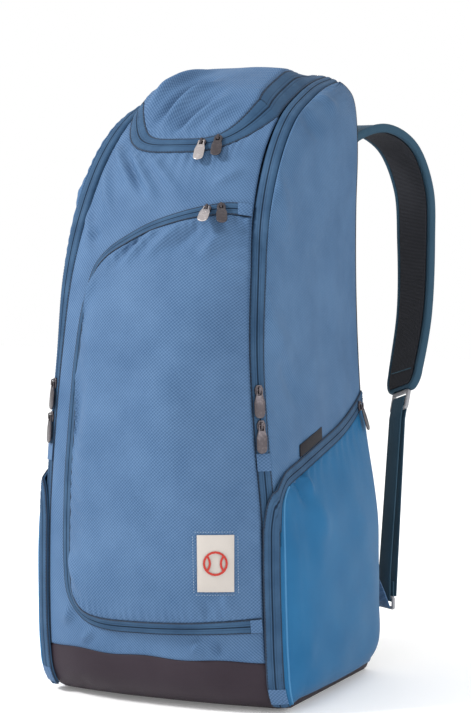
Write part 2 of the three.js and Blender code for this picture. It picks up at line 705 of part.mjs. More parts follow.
function sliderGeometry() {
  const outline = new THREE.Shape(SLIDER_OUTLINE.map(([x, y]) => (
    new THREE.Vector2((x * SLIDER_WIDTH) / 2, (y * SLIDER_LENGTH) / 2)
  )));
  const body = plateGeometry(outline, SLIDER_THICK, 1);
  const inside = BRIDGE_ROOM + SLIDER_SINK;
  const top = inside + BRIDGE_THICK;
  const arch = new THREE.Shape([
    [BRIDGE_BACK, 0], [BRIDGE_BACK + BRIDGE_THICK, 0], [BRIDGE_BACK + BRIDGE_THICK, inside],
    [BRIDGE_FRONT - BRIDGE_THICK, inside], [BRIDGE_FRONT - BRIDGE_THICK, 0], [BRIDGE_FRONT, 0],
    [BRIDGE_FRONT, inside], [BRIDGE_FRONT - BRIDGE_THICK, top], [BRIDGE_BACK + BRIDGE_THICK, top],
    [BRIDGE_BACK, inside],
  ].map(([a, b]) => new THREE.Vector2(a, b)));
  const bridge = plateGeometry(arch, BRIDGE_WIDTH, 1);
  bridge.rotateX(Math.PI / 2).rotateZ(Math.PI / 2);
  bridge.translate(-BRIDGE_WIDTH / 2, 0, SLIDER_THICK - SLIDER_SINK);
  return fromSolid(toSolid(body).add(toSolid(bridge)));
}

// Pull: a paddle with a slot whose bar lies under the bridge
const PULL_BAR = 1.9;
const PULL_START = -1.5;
const SLOT_LENGTH = 5.2;
const SLOT_HALF = 2.1;
const PULL_HEAD_HALF = 3.9;
const PULL_SHOULDER_SHARE = 0.55;

function pullGeometry() {
  const end = PULL_LENGTH - PULL_WIDTH / 2;
  const wide = PULL_WIDTH / 2;
  const outline = new THREE.Shape();
  outline.moveTo(-PULL_HEAD_HALF, 0);
  outline.lineTo(PULL_HEAD_HALF, 0);
  outline.lineTo(PULL_HEAD_HALF, SLOT_LENGTH);
  outline.lineTo(wide, PULL_SHOULDER_SHARE * end);
  outline.lineTo(wide, end);
  outline.absarc(0, end, wide, 0, Math.PI, false);
  outline.lineTo(-wide, PULL_SHOULDER_SHARE * end);
  outline.lineTo(-PULL_HEAD_HALF, SLOT_LENGTH);
  const slot = new THREE.Path([
    [-SLOT_HALF, PULL_BAR], [-SLOT_HALF, PULL_BAR + SLOT_LENGTH],
    [SLOT_HALF, PULL_BAR + SLOT_LENGTH], [SLOT_HALF, PULL_BAR],
  ].map(([a, b]) => new THREE.Vector2(a, b)));
  outline.holes.push(slot);
  return plateGeometry(outline, PULL_THICK, 4);
}

// Places a slider and its pull on a cloth, given three rows of places across it. The pull hangs
// down the cloth, with its free end raised off it and swung sideways by angles in degrees.
function addZipPull(name, rows, index, { material = GUNMETAL, raise = 0, swing = 0 } = {}) {
  const at = (row, place) => {
    const low = THREE.MathUtils.clamp(Math.floor(place), 0, row.length - 2);
    const [a, b] = [row[low], row[low + 1]].map((p) => onBody(p.girth, p.station, p.height));
    return a.lerp(b, place - low);
  };
  const middle = at(rows[1], index);
  const reach = SLIDER_WIDTH / 2 / at(rows[1], index - 0.5).distanceTo(at(rows[1], index + 0.5));
  const around = rows.flatMap((row) => [-reach, 0, reach].map((step) => at(row, index + step)));
  const along = at(rows[1], index + reach).sub(at(rows[1], index - reach));
  const over = at(rows[2], index).sub(at(rows[0], index));
  const normal = over.cross(along).normalize();
  const inside = new THREE.Vector3(0, 0, middle.z);
  if (normal.dot(middle.clone().sub(inside)) < 0) normal.negate();
  const rise = Math.max(...around.map((point) => point.clone().sub(middle).dot(normal)));
  const hang = new THREE.Vector3(0, 0, -1).projectOnPlane(normal).normalize();
  const across = hang.clone().cross(normal);
  const seat = new THREE.Group();
  seat.position.copy(middle).addScaledVector(normal, rise + HARD_GAP);
  seat.quaternion.setFromRotationMatrix(new THREE.Matrix4().makeBasis(across, hang, normal));
  const slider = new THREE.Mesh(sliderGeometry(), GUNMETAL);
  slider.name = `${name}_slider`;
  const pull = new THREE.Mesh(pullGeometry(), material);
  pull.name = `${name}_pull`;
  pull.position.set(0, PULL_START, SLIDER_THICK + (BRIDGE_ROOM - PULL_THICK) / 2);
  pull.rotation.set(THREE.MathUtils.degToRad(raise), 0, THREE.MathUtils.degToRad(swing));
  seat.add(slider, pull);
  group.add(seat);
}

// Index along a line where a share of the front's half width is reached
function indexAtAcross(line, across, from, to) {
  const value = (place) => place.girth / sectionAt(place.station).half;
  for (let i = from; i < to; i += 1) {
    const [a, b] = [value(line[i]), value(line[i + 1])];
    if ((a - across) * (b - across) <= 0) return i + (across - a) / (b - a);
  }
  return to;
}

function indexAtStation(line, station) {
  const next = line.findIndex((place) => place.station >= station);
  const [a, b] = [line[next - 1].station, line[next].station];
  return next - 1 + (station - a) / (b - a);
}

// Rows of places turned into columns
function turned(rows) {
  return rows[0].map((unused, column) => rows.map((row) => row[column]));
}

// Soft main pieces
const lidTape = tapePlaces(lidSeamLine(), [0, LID_TAPE / 2, LID_TAPE], ({ station }, offset) => (
  (lidLift(station) * offset) / LID_TAPE
));
const pocketTape = tapePlaces(pocketLine, [-POCKET_TAPE / 2, 0, POCKET_TAPE / 2], pocketTapeHeight);
const mainTape = turned(mainZipPlaces());
const sideTape = sideTapePlaces();

addPiece('front_panel', clothGeometry(frontPanelPlaces(), CLOTH), DENIM);
addPiece('top_lid', clothGeometry(lidPlaces(), CLOTH), DENIM);
addPiece('back_panel', backPanelGeometry(), MESH_BLACK);
addPiece('base', baseGeometry(), CHARCOAL);
addPiece('front_pocket', clothGeometry(frontPocketPlaces(), SKIN), DENIM);
addPiece('lid_zip', clothGeometry(lidTape, CLOTH), TEAL);
addPiece('front_pocket_zip', clothGeometry(pocketTape, TAPE), TEAL);

const SIDES = [['right', (grid) => grid], ['left', mirrored]];
for (const [side, turn] of SIDES) {
  addPiece(`side_panel_${side}`, clothGeometry(turn(sidePanelPlaces()), CLOTH), DENIM);
  addPiece(`main_zip_${side}`, clothGeometry(turn(turned(mainTape)), CLOTH), TEAL);
  addPiece(`side_pocket_zip_${side}`, clothGeometry(turn(sideTape), TAPE), TEAL);
  addPiece(`side_pocket_${side}`, clothGeometry(turn(sidePocketPlaces()), SKIN), BRIGHT);
}

// Sliders and pulls
const lidRound = [LEG_CELLS, LEG_CELLS + FRONT_CELLS];
const pocketTop = [0, POCKET_TOP_CELLS];
const FRONT_SLIDERS = [
  { name: 'lid_a', tape: lidTape, range: lidRound, across: 0.31, material: SILVER, swing: 5 },
  { name: 'lid_b', tape: lidTape, range: lidRound, across: 0.48, material: GUNMETAL, swing: 1 },
  { name: 'pocket_a', tape: pocketTape, range: pocketTop, across: 0.565, material: SILVER, raise: 9 },
  {
    name: 'pocket_b', tape: pocketTape, range: pocketTop, across: 0.70, material: GUNMETAL, raise: 9,
    swing: 4,
  },
];
const MAIN_SLIDERS = [{ name: 'a', station: 0.389 }, { name: 'b', station: 0.346 }];
const SIDE_SLIDER = { share: 0.955, raise: 12 };

for (const { name, tape, range, across, ...hang } of FRONT_SLIDERS) {
  addZipPull(name, tape, indexAtAcross(tape[1], across, ...range), hang);
}
for (const [side, turn] of SIDES) {
  for (const { name, station } of MAIN_SLIDERS) {
    addZipPull(`main_${side}_${name}`, turn(mainTape), indexAtStation(mainTape[1], station));
  }
  const index = SIDE_SLIDER.share * (sideTape[0].length - 1);
  addZipPull(`side_pocket_${side}`, turn(sideTape), index, { raise: SIDE_SLIDER.raise });
}

// Cloth patches over the ends of the tapes
const MAIN_END_STATION = 0.29;
const END_CELLS = 0.5;
const POCKET_TOP_END_CELLS = 0.6;
const SIDE_END = { from: 0.2, to: 1.1 };

function endPatch(name, rows, from, to, turn = (grid) => grid) {
  const places = rows.map((row) => [from, (from + to) / 2, to].map((index) => {
    const low = Math.min(Math.floor(index), row.length - 2);
    const mix = (key) => THREE.MathUtils.lerp(row[low][key], row[low + 1][key], index - low);
    return { girth: mix('girth'), station: mix('station'), height: mix('height') + END_GAP + END_THICK };
  }));
  addPiece(name, clothGeometry(turn(places), END_THICK), DENIM);
}

endPatch('pocket_zip_end_top', pocketTape, 0, POCKET_TOP_END_CELLS);
endPatch('pocket_zip_end_low', pocketTape, pocketCells - END_CELLS, pocketCells);
for (const [side, turn] of SIDES) {
  const start = indexAtStation(mainTape[1], MAIN_END_STATION);
  endPatch(`main_zip_end_${side}`, mainTape, start, start + END_CELLS, turn);
  endPatch(`side_zip_end_${side}`, sideTape, SIDE_END.from, SIDE_END.to, turn);
}

// Label on the front pocket and its plain figure
const PATCH_ACROSS = 0.665;
const PATCH_STATION = 0.181;
const PATCH_CELLS = [4, 6];

function labelPlaces() {
  const { half } = sectionAt(PATCH_STATION);
  const centre = PATCH_ACROSS * half;
  const length = stationLength(centre, PATCH_STATION);
  const [wide, high] = PATCH_CELLS;
  return Array.from({ length: high + 1 }, (unused, row) => (
    Array.from({ length: wide + 1 }, (ignored, column) => {
      const place = {
        girth: centre + PATCH_WIDTH * (column / wide - 0.5),
        station: PATCH_STATION + (PATCH_HEIGHT / length) * (row / high - 0.5),
      };
      return { ...place, height: pocketHeight(place) + LAYER_GAP + PATCH_THICK };
    })
  ));
}

// Flat ring with two curved lines, like the seam of a ball
function ballFigure() {
  const r = MOTIF_RADIUS;
  const inner = r - MOTIF_LINE;
  const roundPlate = (radius, thickness, x, z) => {
    const shape = new THREE.Shape().absarc(0, 0, radius, 0, 2 * Math.PI);
    return toSolid(plateGeometry(shape, thickness, MOTIF_SEGMENTS).translate(x, 0, z));
  };
  const drill = (radius, x) => roundPlate(radius, 3 * MOTIF_THICK, x, -MOTIF_THICK);
  const seam = (side) => {
    const x = side * MOTIF_SEAM_SHARE * r;
    return drill(r, x).subtract(drill(inner, x));
  };
  const open = drill(inner, 0).subtract(seam(1)).subtract(seam(-1));
  return fromSolid(roundPlate(r, MOTIF_THICK, 0, 0).subtract(open));
}

const label = labelPlaces();
addPiece('front_patch', clothGeometry(label, PATCH_THICK), CREAM);

function addFigure() {
  const middle = label[PATCH_CELLS[1] / 2];
  const at = ({ girth, station, height }) => onBody(girth, station, height);
  const across = at(middle.at(-1)).sub(at(middle[0])).normalize();
  const up = at(label.at(-1)[2]).sub(at(label[0][2])).normalize();
  const normal = across.clone().cross(up).normalize();
  const upright = normal.clone().cross(across);
  const figure = addPiece('patch_motif', ballFigure(), RED);
  figure.position.copy(at(middle[2])).addScaledVector(normal, HARD_GAP);
  figure.quaternion.setFromRotationMatrix(new THREE.Matrix4().makeBasis(across, upright, normal));
}
addFigure();

// Small woven tag in the seam over the right side pocket's zip
const TAG_LINE = { from: { lane: 2.236, station: 0.3000 }, to: { lane: 2.456, station: 0.3172 } };
const TAG_CELLS = 3;

function tagPlaces() {
  const { from, to } = TAG_LINE;
  return [0, 1].map((row) => Array.from({ length: TAG_CELLS + 1 }, (unused, column) => {
    const share = column / TAG_CELLS;
    const station = THREE.MathUtils.lerp(from.station, to.station, share);
    const girth = girthAt(THREE.MathUtils.lerp(from.lane, to.lane, share), station);
    const length = stationLength(girth, station);
    return { girth, station: station + (row * TAG_HEIGHT) / length, height: LAYER_GAP + TAG_THICK };
  }));
}
addPiece('side_tag_right', clothGeometry(tagPlaces(), TAG_THICK), MESH_BLACK);

// Middle line of a shoulder strap from the back's top down to the buckle. across is a share of
// BODY_HALF_WIDTH, behind of STRAP_REACH from the back panel and height of BODY_HEIGHT. turn, in
// degrees, swings the strap's outer edge forwards.
const STRAP_REACH = 180;
const STRAP_LINE = [
  { across: 0.520, behind: 0.0712, height: 0.870, turn: 0 },
  { across: 0.560, behind: 0.290, height: 0.903, turn: 4 },
  { across: 0.690, behind: 0.600, height: 0.917, turn: 9 },
  { across: 0.820, behind: 0.870, height: 0.887, turn: 14 },
  { across: 0.912, behind: 1.000, height: 0.815, turn: 18 },
  { across: 0.942, behind: 0.995, height: 0.722, turn: 22 },
  { across: 0.960, behind: 0.930, height: 0.596, turn: 28 },
  { across: 0.970, behind: 0.735, height: 0.492, turn: 34 },
  { across: 0.976, behind: 0.660, height: 0.460, turn: 36 },
];
const STRAP_CELLS = 22;
const STRAP_END_SHARE = 0.62;
const MESH_START = 1;
const PAD_SECTION = [
  [-1, -0.4], [-0.92, -1], [0.92, -1], [1, -0.4], [1, 0.4], [0.92, 1], [-0.92, 1], [-1, 0.4],
];
const FLAT_SECTION = [[-1, -1], [1, -1], [1, 1], [-1, 1]];

// Frames along a path: across lies flat in the strap, out points away from the bag.
function pathFrames(points, turns) {
  return points.map((centre, index) => {
    const next = points[Math.min(index + 1, points.length - 1)];
    const last = points[Math.max(index - 1, 0)];
    const along = next.clone().sub(last).normalize();
    const angle = THREE.MathUtils.degToRad(turns[index]);
    const level = new THREE.Vector3(Math.cos(angle), -Math.sin(angle), 0);
    const out = level.cross(along).normalize();
    return { centre, along, out, across: along.clone().cross(out) };
  });
}

// Solid swept along frames, with the section's two half sizes
function sweptGeometry(frames, section, halfWidth, halfThick) {
  const points = frames.flatMap(({ centre, across, out }) => section.map(([x, y]) => (
    centre.clone().addScaledVector(across, x * halfWidth).addScaledVector(out, y * halfThick)
  )));
  const sides = section.length;
  const faces = [];
  for (let ring = 0; ring < frames.length - 1; ring += 1) {
    for (let side = 0; side < sides; side += 1) {
      const [a, b] = [ring * sides + side, ring * sides + ((side + 1) % sides)];
      faces.push(a, b, b + sides, a, b + sides, a + sides);
    }
  }
  const last = (frames.length - 1) * sides;
  for (let side = 1; side < sides - 1; side += 1) {
    faces.push(0, side + 1, side, last, last + side, last + side + 1);
  }
  return solidFrom(points, faces);
}

function sampledKnots(knots, cells) {
  const curve = new THREE.CatmullRomCurve3(knots.map((knot) => knot.point), false, 'centripetal');
  const points = [];
  const turns = [];
  for (let i = 0; i <= cells; i += 1) {
    const place = (i / cells) * (knots.length - 1);
    const low = Math.min(Math.floor(place), knots.length - 2);
    points.push(curve.getPoint(i / cells));
    turns.push(THREE.MathUtils.lerp(knots[low].turn, knots[low + 1].turn, place - low));
  }
  return pathFrames(points, turns);
}

const strapFrames = sampledKnots(STRAP_LINE.map(({ across, behind, height, turn }) => ({
  turn,
  point: new THREE.Vector3(
    across * BODY_HALF_WIDTH, BACK_PLANE + behind * STRAP_REACH, height * BODY_HEIGHT,
  ),
})), STRAP_CELLS);

// Buckle at the pad's lower end: a plate with two windows between three bars
const strapEnd = strapFrames.at(-1);
const CORNER_CUT_SHARE = 0.6;

function plateWithWindows(width, length, thickness, bar, windows) {
  const half = width / 2;
  const cut = CORNER_CUT_SHARE * bar;
  const outline = new THREE.Shape([
    [-half + cut, 0], [half - cut, 0], [half, cut], [half, length - cut],
    [half - cut, length], [-half + cut, length], [-half, length - cut], [-half, cut],
  ].map(([x, y]) => new THREE.Vector2(x, y)));
  const open = (length - bar * (windows + 1)) / windows;
  for (let i = 0; i < windows; i += 1) {
    const start = bar + i * (open + bar);
    outline.holes.push(new THREE.Path([
      [-half + bar, start], [-half + bar, start + open], [half - bar, start + open], [half - bar, start],
    ].map(([x, y]) => new THREE.Vector2(x, y))));
  }
  const geometry = plateGeometry(outline, thickness, 1);
  geometry.translate(0, 0, -thickness / 2);
  return geometry;
}

// Matrix that lays a plate's X across the strap and its Y along it
function strapMatrix(frame, centre) {
  const out = frame.across.clone().cross(frame.along);
  return new THREE.Matrix4().makeBasis(frame.across, frame.along, out).setPosition(centre);
}

const buckleStart = strapEnd.centre.clone().addScaledVector(strapEnd.along, HARD_GAP);
const buckleWindow = (BUCKLE_LENGTH - 3 * BUCKLE_BAR) / 2;
const middleBar = BUCKLE_BAR + buckleWindow;

// Lower ring, hung from the webbing beside the bag's lower back corner
const RING_PLACE = { across: 1.045, behind: 0.235, height: 0.118, turn: 32 };
const WRAP_GAP = 0.4;
const wrapRadius = BUCKLE_THICK / 2 + WRAP_GAP + WEBBING_THICK / 2;
const ringWrap = RING_BAR / 2 + WRAP_GAP + WEBBING_THICK / 2;
const ringCentre = new THREE.Vector3(
  RING_PLACE.across * BODY_HALF_WIDTH,
  BACK_PLANE + RING_PLACE.behind * STRAP_REACH,
  RING_PLACE.height * BODY_HEIGHT,
);
const ringTurn = THREE.MathUtils.degToRad(RING_PLACE.turn);
const ringAcross = new THREE.Vector3(Math.cos(ringTurn), -Math.sin(ringTurn), 0);
const ringDown = new THREE.Vector3(0, 0, -1);
const ringFrame = { across: ringAcross, along: ringDown, out: ringAcross.clone().cross(ringDown) };

// Webbing: a tail behind, over the buckle's middle bar, down to the ring and round its top bar
const TAIL_END = 0.115;
const TAIL_SIDE = 6.5;
const STUB = 22;
const RING_RISE = 30;
const ARC_CELLS = 4;

function webbingFrames() {
  const bar = buckleStart.clone().addScaledVector(strapEnd.along, middleBar);
  const ringTop = ringCentre.clone().addScaledVector(ringDown, RING_BAR);
  const arc = (centre, frame, radius, from, to) => Array.from({ length: ARC_CELLS + 1 }, (unused, i) => {
    const angle = THREE.MathUtils.lerp(from, to, i / ARC_CELLS);
    const point = centre.clone().addScaledVector(frame.out, radius * Math.cos(angle))
      .addScaledVector(frame.along, radius * Math.sin(angle));
    return { point, across: frame.across };
  });
  const strand = (from, to, shares) => shares.map((share) => ({
    point: from.point.clone().lerp(to.point, share), across: from.across.clone().lerp(to.across, share),
  }));
  const below = (knot, along, distance) => (
    { point: knot.point.clone().addScaledVector(along, distance), across: knot.across }
  );
  const topArc = arc(bar, strapEnd, wrapRadius, 0, -Math.PI);
  const lowArc = arc(ringTop, ringFrame, ringWrap, Math.PI, 0);
  const tailTop = below(topArc[0], strapEnd.along, BUCKLE_LENGTH);
  const tailLow = below({ point: ringCentre, across: ringAcross }, ringFrame.out, TAIL_SIDE);
  tailLow.point.z = TAIL_END * BODY_HEIGHT;
  const frontTop = below(topArc.at(-1), strapEnd.along, BUCKLE_LENGTH);
  const frontLow = below(lowArc[0], ringDown, -RING_RISE);
  const knots = [
    ...strand(tailLow, tailTop, [0, 0.25, 0.5, 0.75, 1]), ...topArc,
    ...strand(frontTop, frontLow, [0, 0.33, 0.66, 1]), ...lowArc, below(lowArc.at(-1), ringDown, -STUB),
  ];
  return knots.map(({ point, across }, index) => {
    const next = knots[Math.min(index + 1, knots.length - 1)].point;
    const last = knots[Math.max(index - 1, 0)].point;
    const along = next.clone().sub(last).normalize();
    const flat = across.clone().projectOnPlane(along).normalize();
    return { centre: point, along, across: flat, out: flat.clone().cross(along) };
  });
}

// Cloth tab from the back's lower edge to the ring's lower bar
const ANCHOR_CELLS = 6;
const ANCHOR_PLACE = { across: 0.955, height: 0.158 };
const ANCHOR_THICK = 2;

function anchorFrames() {
  const root = new THREE.Vector3(
    ANCHOR_PLACE.across * BODY_HALF_WIDTH,
    BACK_PLANE + SEAM + BACK_BAND * BACK_PAD + HARD_GAP,
    ANCHOR_PLACE.height * BODY_HEIGHT,
  );
  const tip = ringCentre.clone().addScaledVector(ringDown, RING_LENGTH - RING_BAR / 2)
    .addScaledVector(ringFrame.out, -(RING_BAR / 2 + HARD_GAP + ANCHOR_THICK / 2));
  const along = tip.clone().sub(root).normalize();
  return Array.from({ length: ANCHOR_CELLS + 1 }, (unused, i) => {
    const share = i / ANCHOR_CELLS;
    const upright = new THREE.Vector3(0, 0, 1).multiplyScalar(1 - share);
    const across = upright.addScaledVector(ringAcross, share).normalize();
    const width = THREE.MathUtils.lerp(ANCHOR_ROOT, WEBBING_WIDTH, share) / WEBBING_WIDTH;
    const out = across.clone().cross(along).normalize();
    return { centre: root.clone().lerp(tip, share), across: across.multiplyScalar(width), out };
  });
}

// The pad and its mesh end in a rounded tongue.
const lastPad = strapFrames.length - 1;
const padFrames = strapFrames.map((frame, index) => ({
  ...frame, across: frame.across.clone().multiplyScalar(index === lastPad ? STRAP_END_SHARE : 1),
}));
const meshOffset = PAD_THICK / 2 + LAYER_GAP + HARD_GAP + MESH_THICK / 2;
const meshFrames = padFrames.slice(MESH_START).map((frame) => (
  { ...frame, centre: frame.centre.clone().addScaledVector(frame.out, -meshOffset) }
));
const strapPieces = [
  ['strap_pad', sweptGeometry(padFrames, PAD_SECTION, PAD_WIDTH / 2, PAD_THICK / 2), TEAL],
  ['strap_mesh', sweptGeometry(meshFrames, FLAT_SECTION, MESH_WIDTH / 2, MESH_THICK / 2), MESH_BLACK],
  ['strap_webbing', sweptGeometry(
    webbingFrames(), FLAT_SECTION, WEBBING_WIDTH / 2, WEBBING_THICK / 2,
  ), TEAL],
  ['strap_anchor', sweptGeometry(anchorFrames(), FLAT_SECTION, WEBBING_WIDTH / 2, ANCHOR_THICK / 2), TEAL],
  ['strap_adjuster', plateWithWindows(
    BUCKLE_WIDTH, BUCKLE_LENGTH, BUCKLE_THICK, BUCKLE_BAR, 2,
  ).applyMatrix4(strapMatrix(strapEnd, buckleStart)), PALE_PLASTIC],
  ['strap_ring', plateWithWindows(
    BUCKLE_WIDTH, RING_LENGTH, RING_BAR, RING_BAR, 1,
  ).applyMatrix4(strapMatrix(ringFrame, ringCentre)), PALE_PLASTIC],
];

// The same solid on the other side of the bag, with its faces still outwards
function mirroredGeometry(geometry) {
  const flat = geometry.index ? geometry.toNonIndexed() : geometry.clone();
  const position = flat.attributes.position;
  for (let i = 0; i < position.count; i += 3) {
    const corners = [0, 1, 2].map((corner) => new THREE.Vector3().fromBufferAttribute(position, i + corner));
    [corners[0], corners[2], corners[1]].forEach((point, corner) => {
      position.setXYZ(i + corner, -point.x, point.y, point.z);
    });
  }
  return flat;
}

for (const [name, geometry, material] of strapPieces) {
  addPiece(`${name}_right`, geometry, material);
  addPiece(`${name}_left`, mirroredGeometry(geometry), material);
}

export default group;
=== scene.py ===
"""Looks of a tall racket backpack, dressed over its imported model.

The shape classes work in millimetres. Every Blender object is in metres.
"""

import logging
import math
from collections.abc import Callable, Sequence
from dataclasses import dataclass, replace
from enum import Enum

import bmesh
import bpy
import numpy as np
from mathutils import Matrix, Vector


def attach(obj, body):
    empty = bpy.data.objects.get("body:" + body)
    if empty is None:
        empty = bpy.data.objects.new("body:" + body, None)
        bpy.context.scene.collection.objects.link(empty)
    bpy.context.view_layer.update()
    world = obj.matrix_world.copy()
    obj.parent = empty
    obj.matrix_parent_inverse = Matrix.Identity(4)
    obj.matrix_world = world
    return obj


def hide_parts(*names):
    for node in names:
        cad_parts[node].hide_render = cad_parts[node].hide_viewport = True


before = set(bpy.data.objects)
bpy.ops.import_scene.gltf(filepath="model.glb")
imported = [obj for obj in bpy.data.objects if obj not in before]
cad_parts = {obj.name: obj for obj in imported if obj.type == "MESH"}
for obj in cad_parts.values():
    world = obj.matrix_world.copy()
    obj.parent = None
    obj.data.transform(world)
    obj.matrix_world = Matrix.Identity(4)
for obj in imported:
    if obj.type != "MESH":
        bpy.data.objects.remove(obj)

Array = np.ndarray
METRE = 0.001
LIGHT_ON_BAG = 1.8
SHINE = 0.12
PER_STATION = 1000
FINE_STEPS = 2400
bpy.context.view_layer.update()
LOG = logging.getLogger("racket_backpack")


def smooth_step(value: Array, start: float, end: float) -> Array:
    """Eased step from 0 to 1 between two values.

    Args:
        value: Where the step is read.
        start: Value that gives 0.
        end: Value that gives 1.

    Returns:
        The eased share.
    """
    share = np.clip((value - start) / (end - start), 0, 1)
    return share * share * (3 - 2 * share)


def catmull_line(knots: Array, count: int) -> Array:
    """Centripetal curve through knots, at even steps of its own parameter.

    Args:
        knots: One row for each knot, in any number of dimensions.
        count: How many points to return.

    Returns:
        One row for each point.
    """
    ends = [2 * knots[0] - knots[1], *knots, 2 * knots[-1] - knots[-2]]
    padded = np.array(ends)
    place = np.linspace(0, len(knots) - 1, count)
    low = np.minimum(place.astype(int), len(knots) - 2)
    share = (place - low)[:, None]
    p0, p1, p2, p3 = (padded[low + step] for step in range(4))
    d0, d1, d2 = (
        np.sqrt(np.linalg.norm(b - a, axis=1))[:, None]
        for a, b in ((p0, p1), (p1, p2), (p2, p3))
    )
    t1 = ((p1 - p0) / d0 - (p2 - p0) / (d0 + d1) + (p2 - p1) / d1) * d1
    t2 = ((p2 - p1) / d1 - (p3 - p1) / (d1 + d2) + (p3 - p2) / d2) * d1
    square, cube = share**2, share**3
    return (
        p1
        + t1 * share
        + (3 * (p2 - p1) - 2 * t1 - t2) * square
        + (2 * (p1 - p2) + t1 + t2) * cube
    )


def running_length(points: Array) -> Array:
    """Distance along a line of points, from 0."""
    steps = np.linalg.norm(np.diff(points, axis=0), axis=1)
    return np.concatenate([[0], np.cumsum(steps)])


def unit(vectors: Array) -> Array:
    """Vectors scaled to a length of 1."""
    return vectors / np.linalg.norm(vectors, axis=-1, keepdims=True)


def read_rows(wanted: Array, along: Array, rows: Array) -> Array:
    """Rows read at wanted distances, from the distances at which they stand."""
    return np.stack([np.interp(wanted, along, column) for column in rows.T], axis=-1)


def even_line(points: Array, count: int) -> Array:
    """The same line, resampled to even distances."""
    along = running_length(points)
    return read_rows(np.linspace(0, along[-1], count), along, points)


def smooth_places(girth: Array, station: Array, count: int) -> Array:
    """Smooth line through places on the body, at even steps.

    Args:
        girth: Girth of each place.
        station: Station of each place.
        count: How many places to return.

    Returns:
        One row of girth and station for each place.
    """
    fine = catmull_line(np.stack([girth, station * PER_STATION], axis=1), FINE_STEPS)
    return even_line(fine, count) / (1, PER_STATION)


def squared_circle(count: int, power: float) -> tuple[Array, Array]:
    """Two coordinates round a circle that a power below 1 squares off."""
    angle = np.linspace(0, math.tau, count, endpoint=False)
    cos, sin = np.cos(angle), np.sin(angle)
    return np.sign(cos) * np.abs(cos) ** power, np.sign(sin) * np.abs(sin) ** power


def soft_noise(u: Array, v: Array, size: float, seed: int) -> Array:
    """Smooth uneven waves from about -1 to 1.

    Args:
        u: First coordinate, in millimetres.
        v: Second coordinate, in millimetres.
        size: Typical distance between two crests.
        seed: Which pattern to give.

    Returns:
        The height of the waves.
    """
    rng = np.random.default_rng(seed)
    waves = 9
    total = np.zeros(np.broadcast(u, v).shape)
    for angle, stretch, phase in zip(
        rng.uniform(0, math.tau, waves),
        rng.uniform(0.6, 1.7, waves),
        rng.uniform(0, math.tau, waves),
    ):
        wave = (u * math.cos(angle) + v * math.sin(angle)) * math.tau * stretch / size
        total += np.sin(wave + phase)
    return total / math.sqrt(waves * 2)


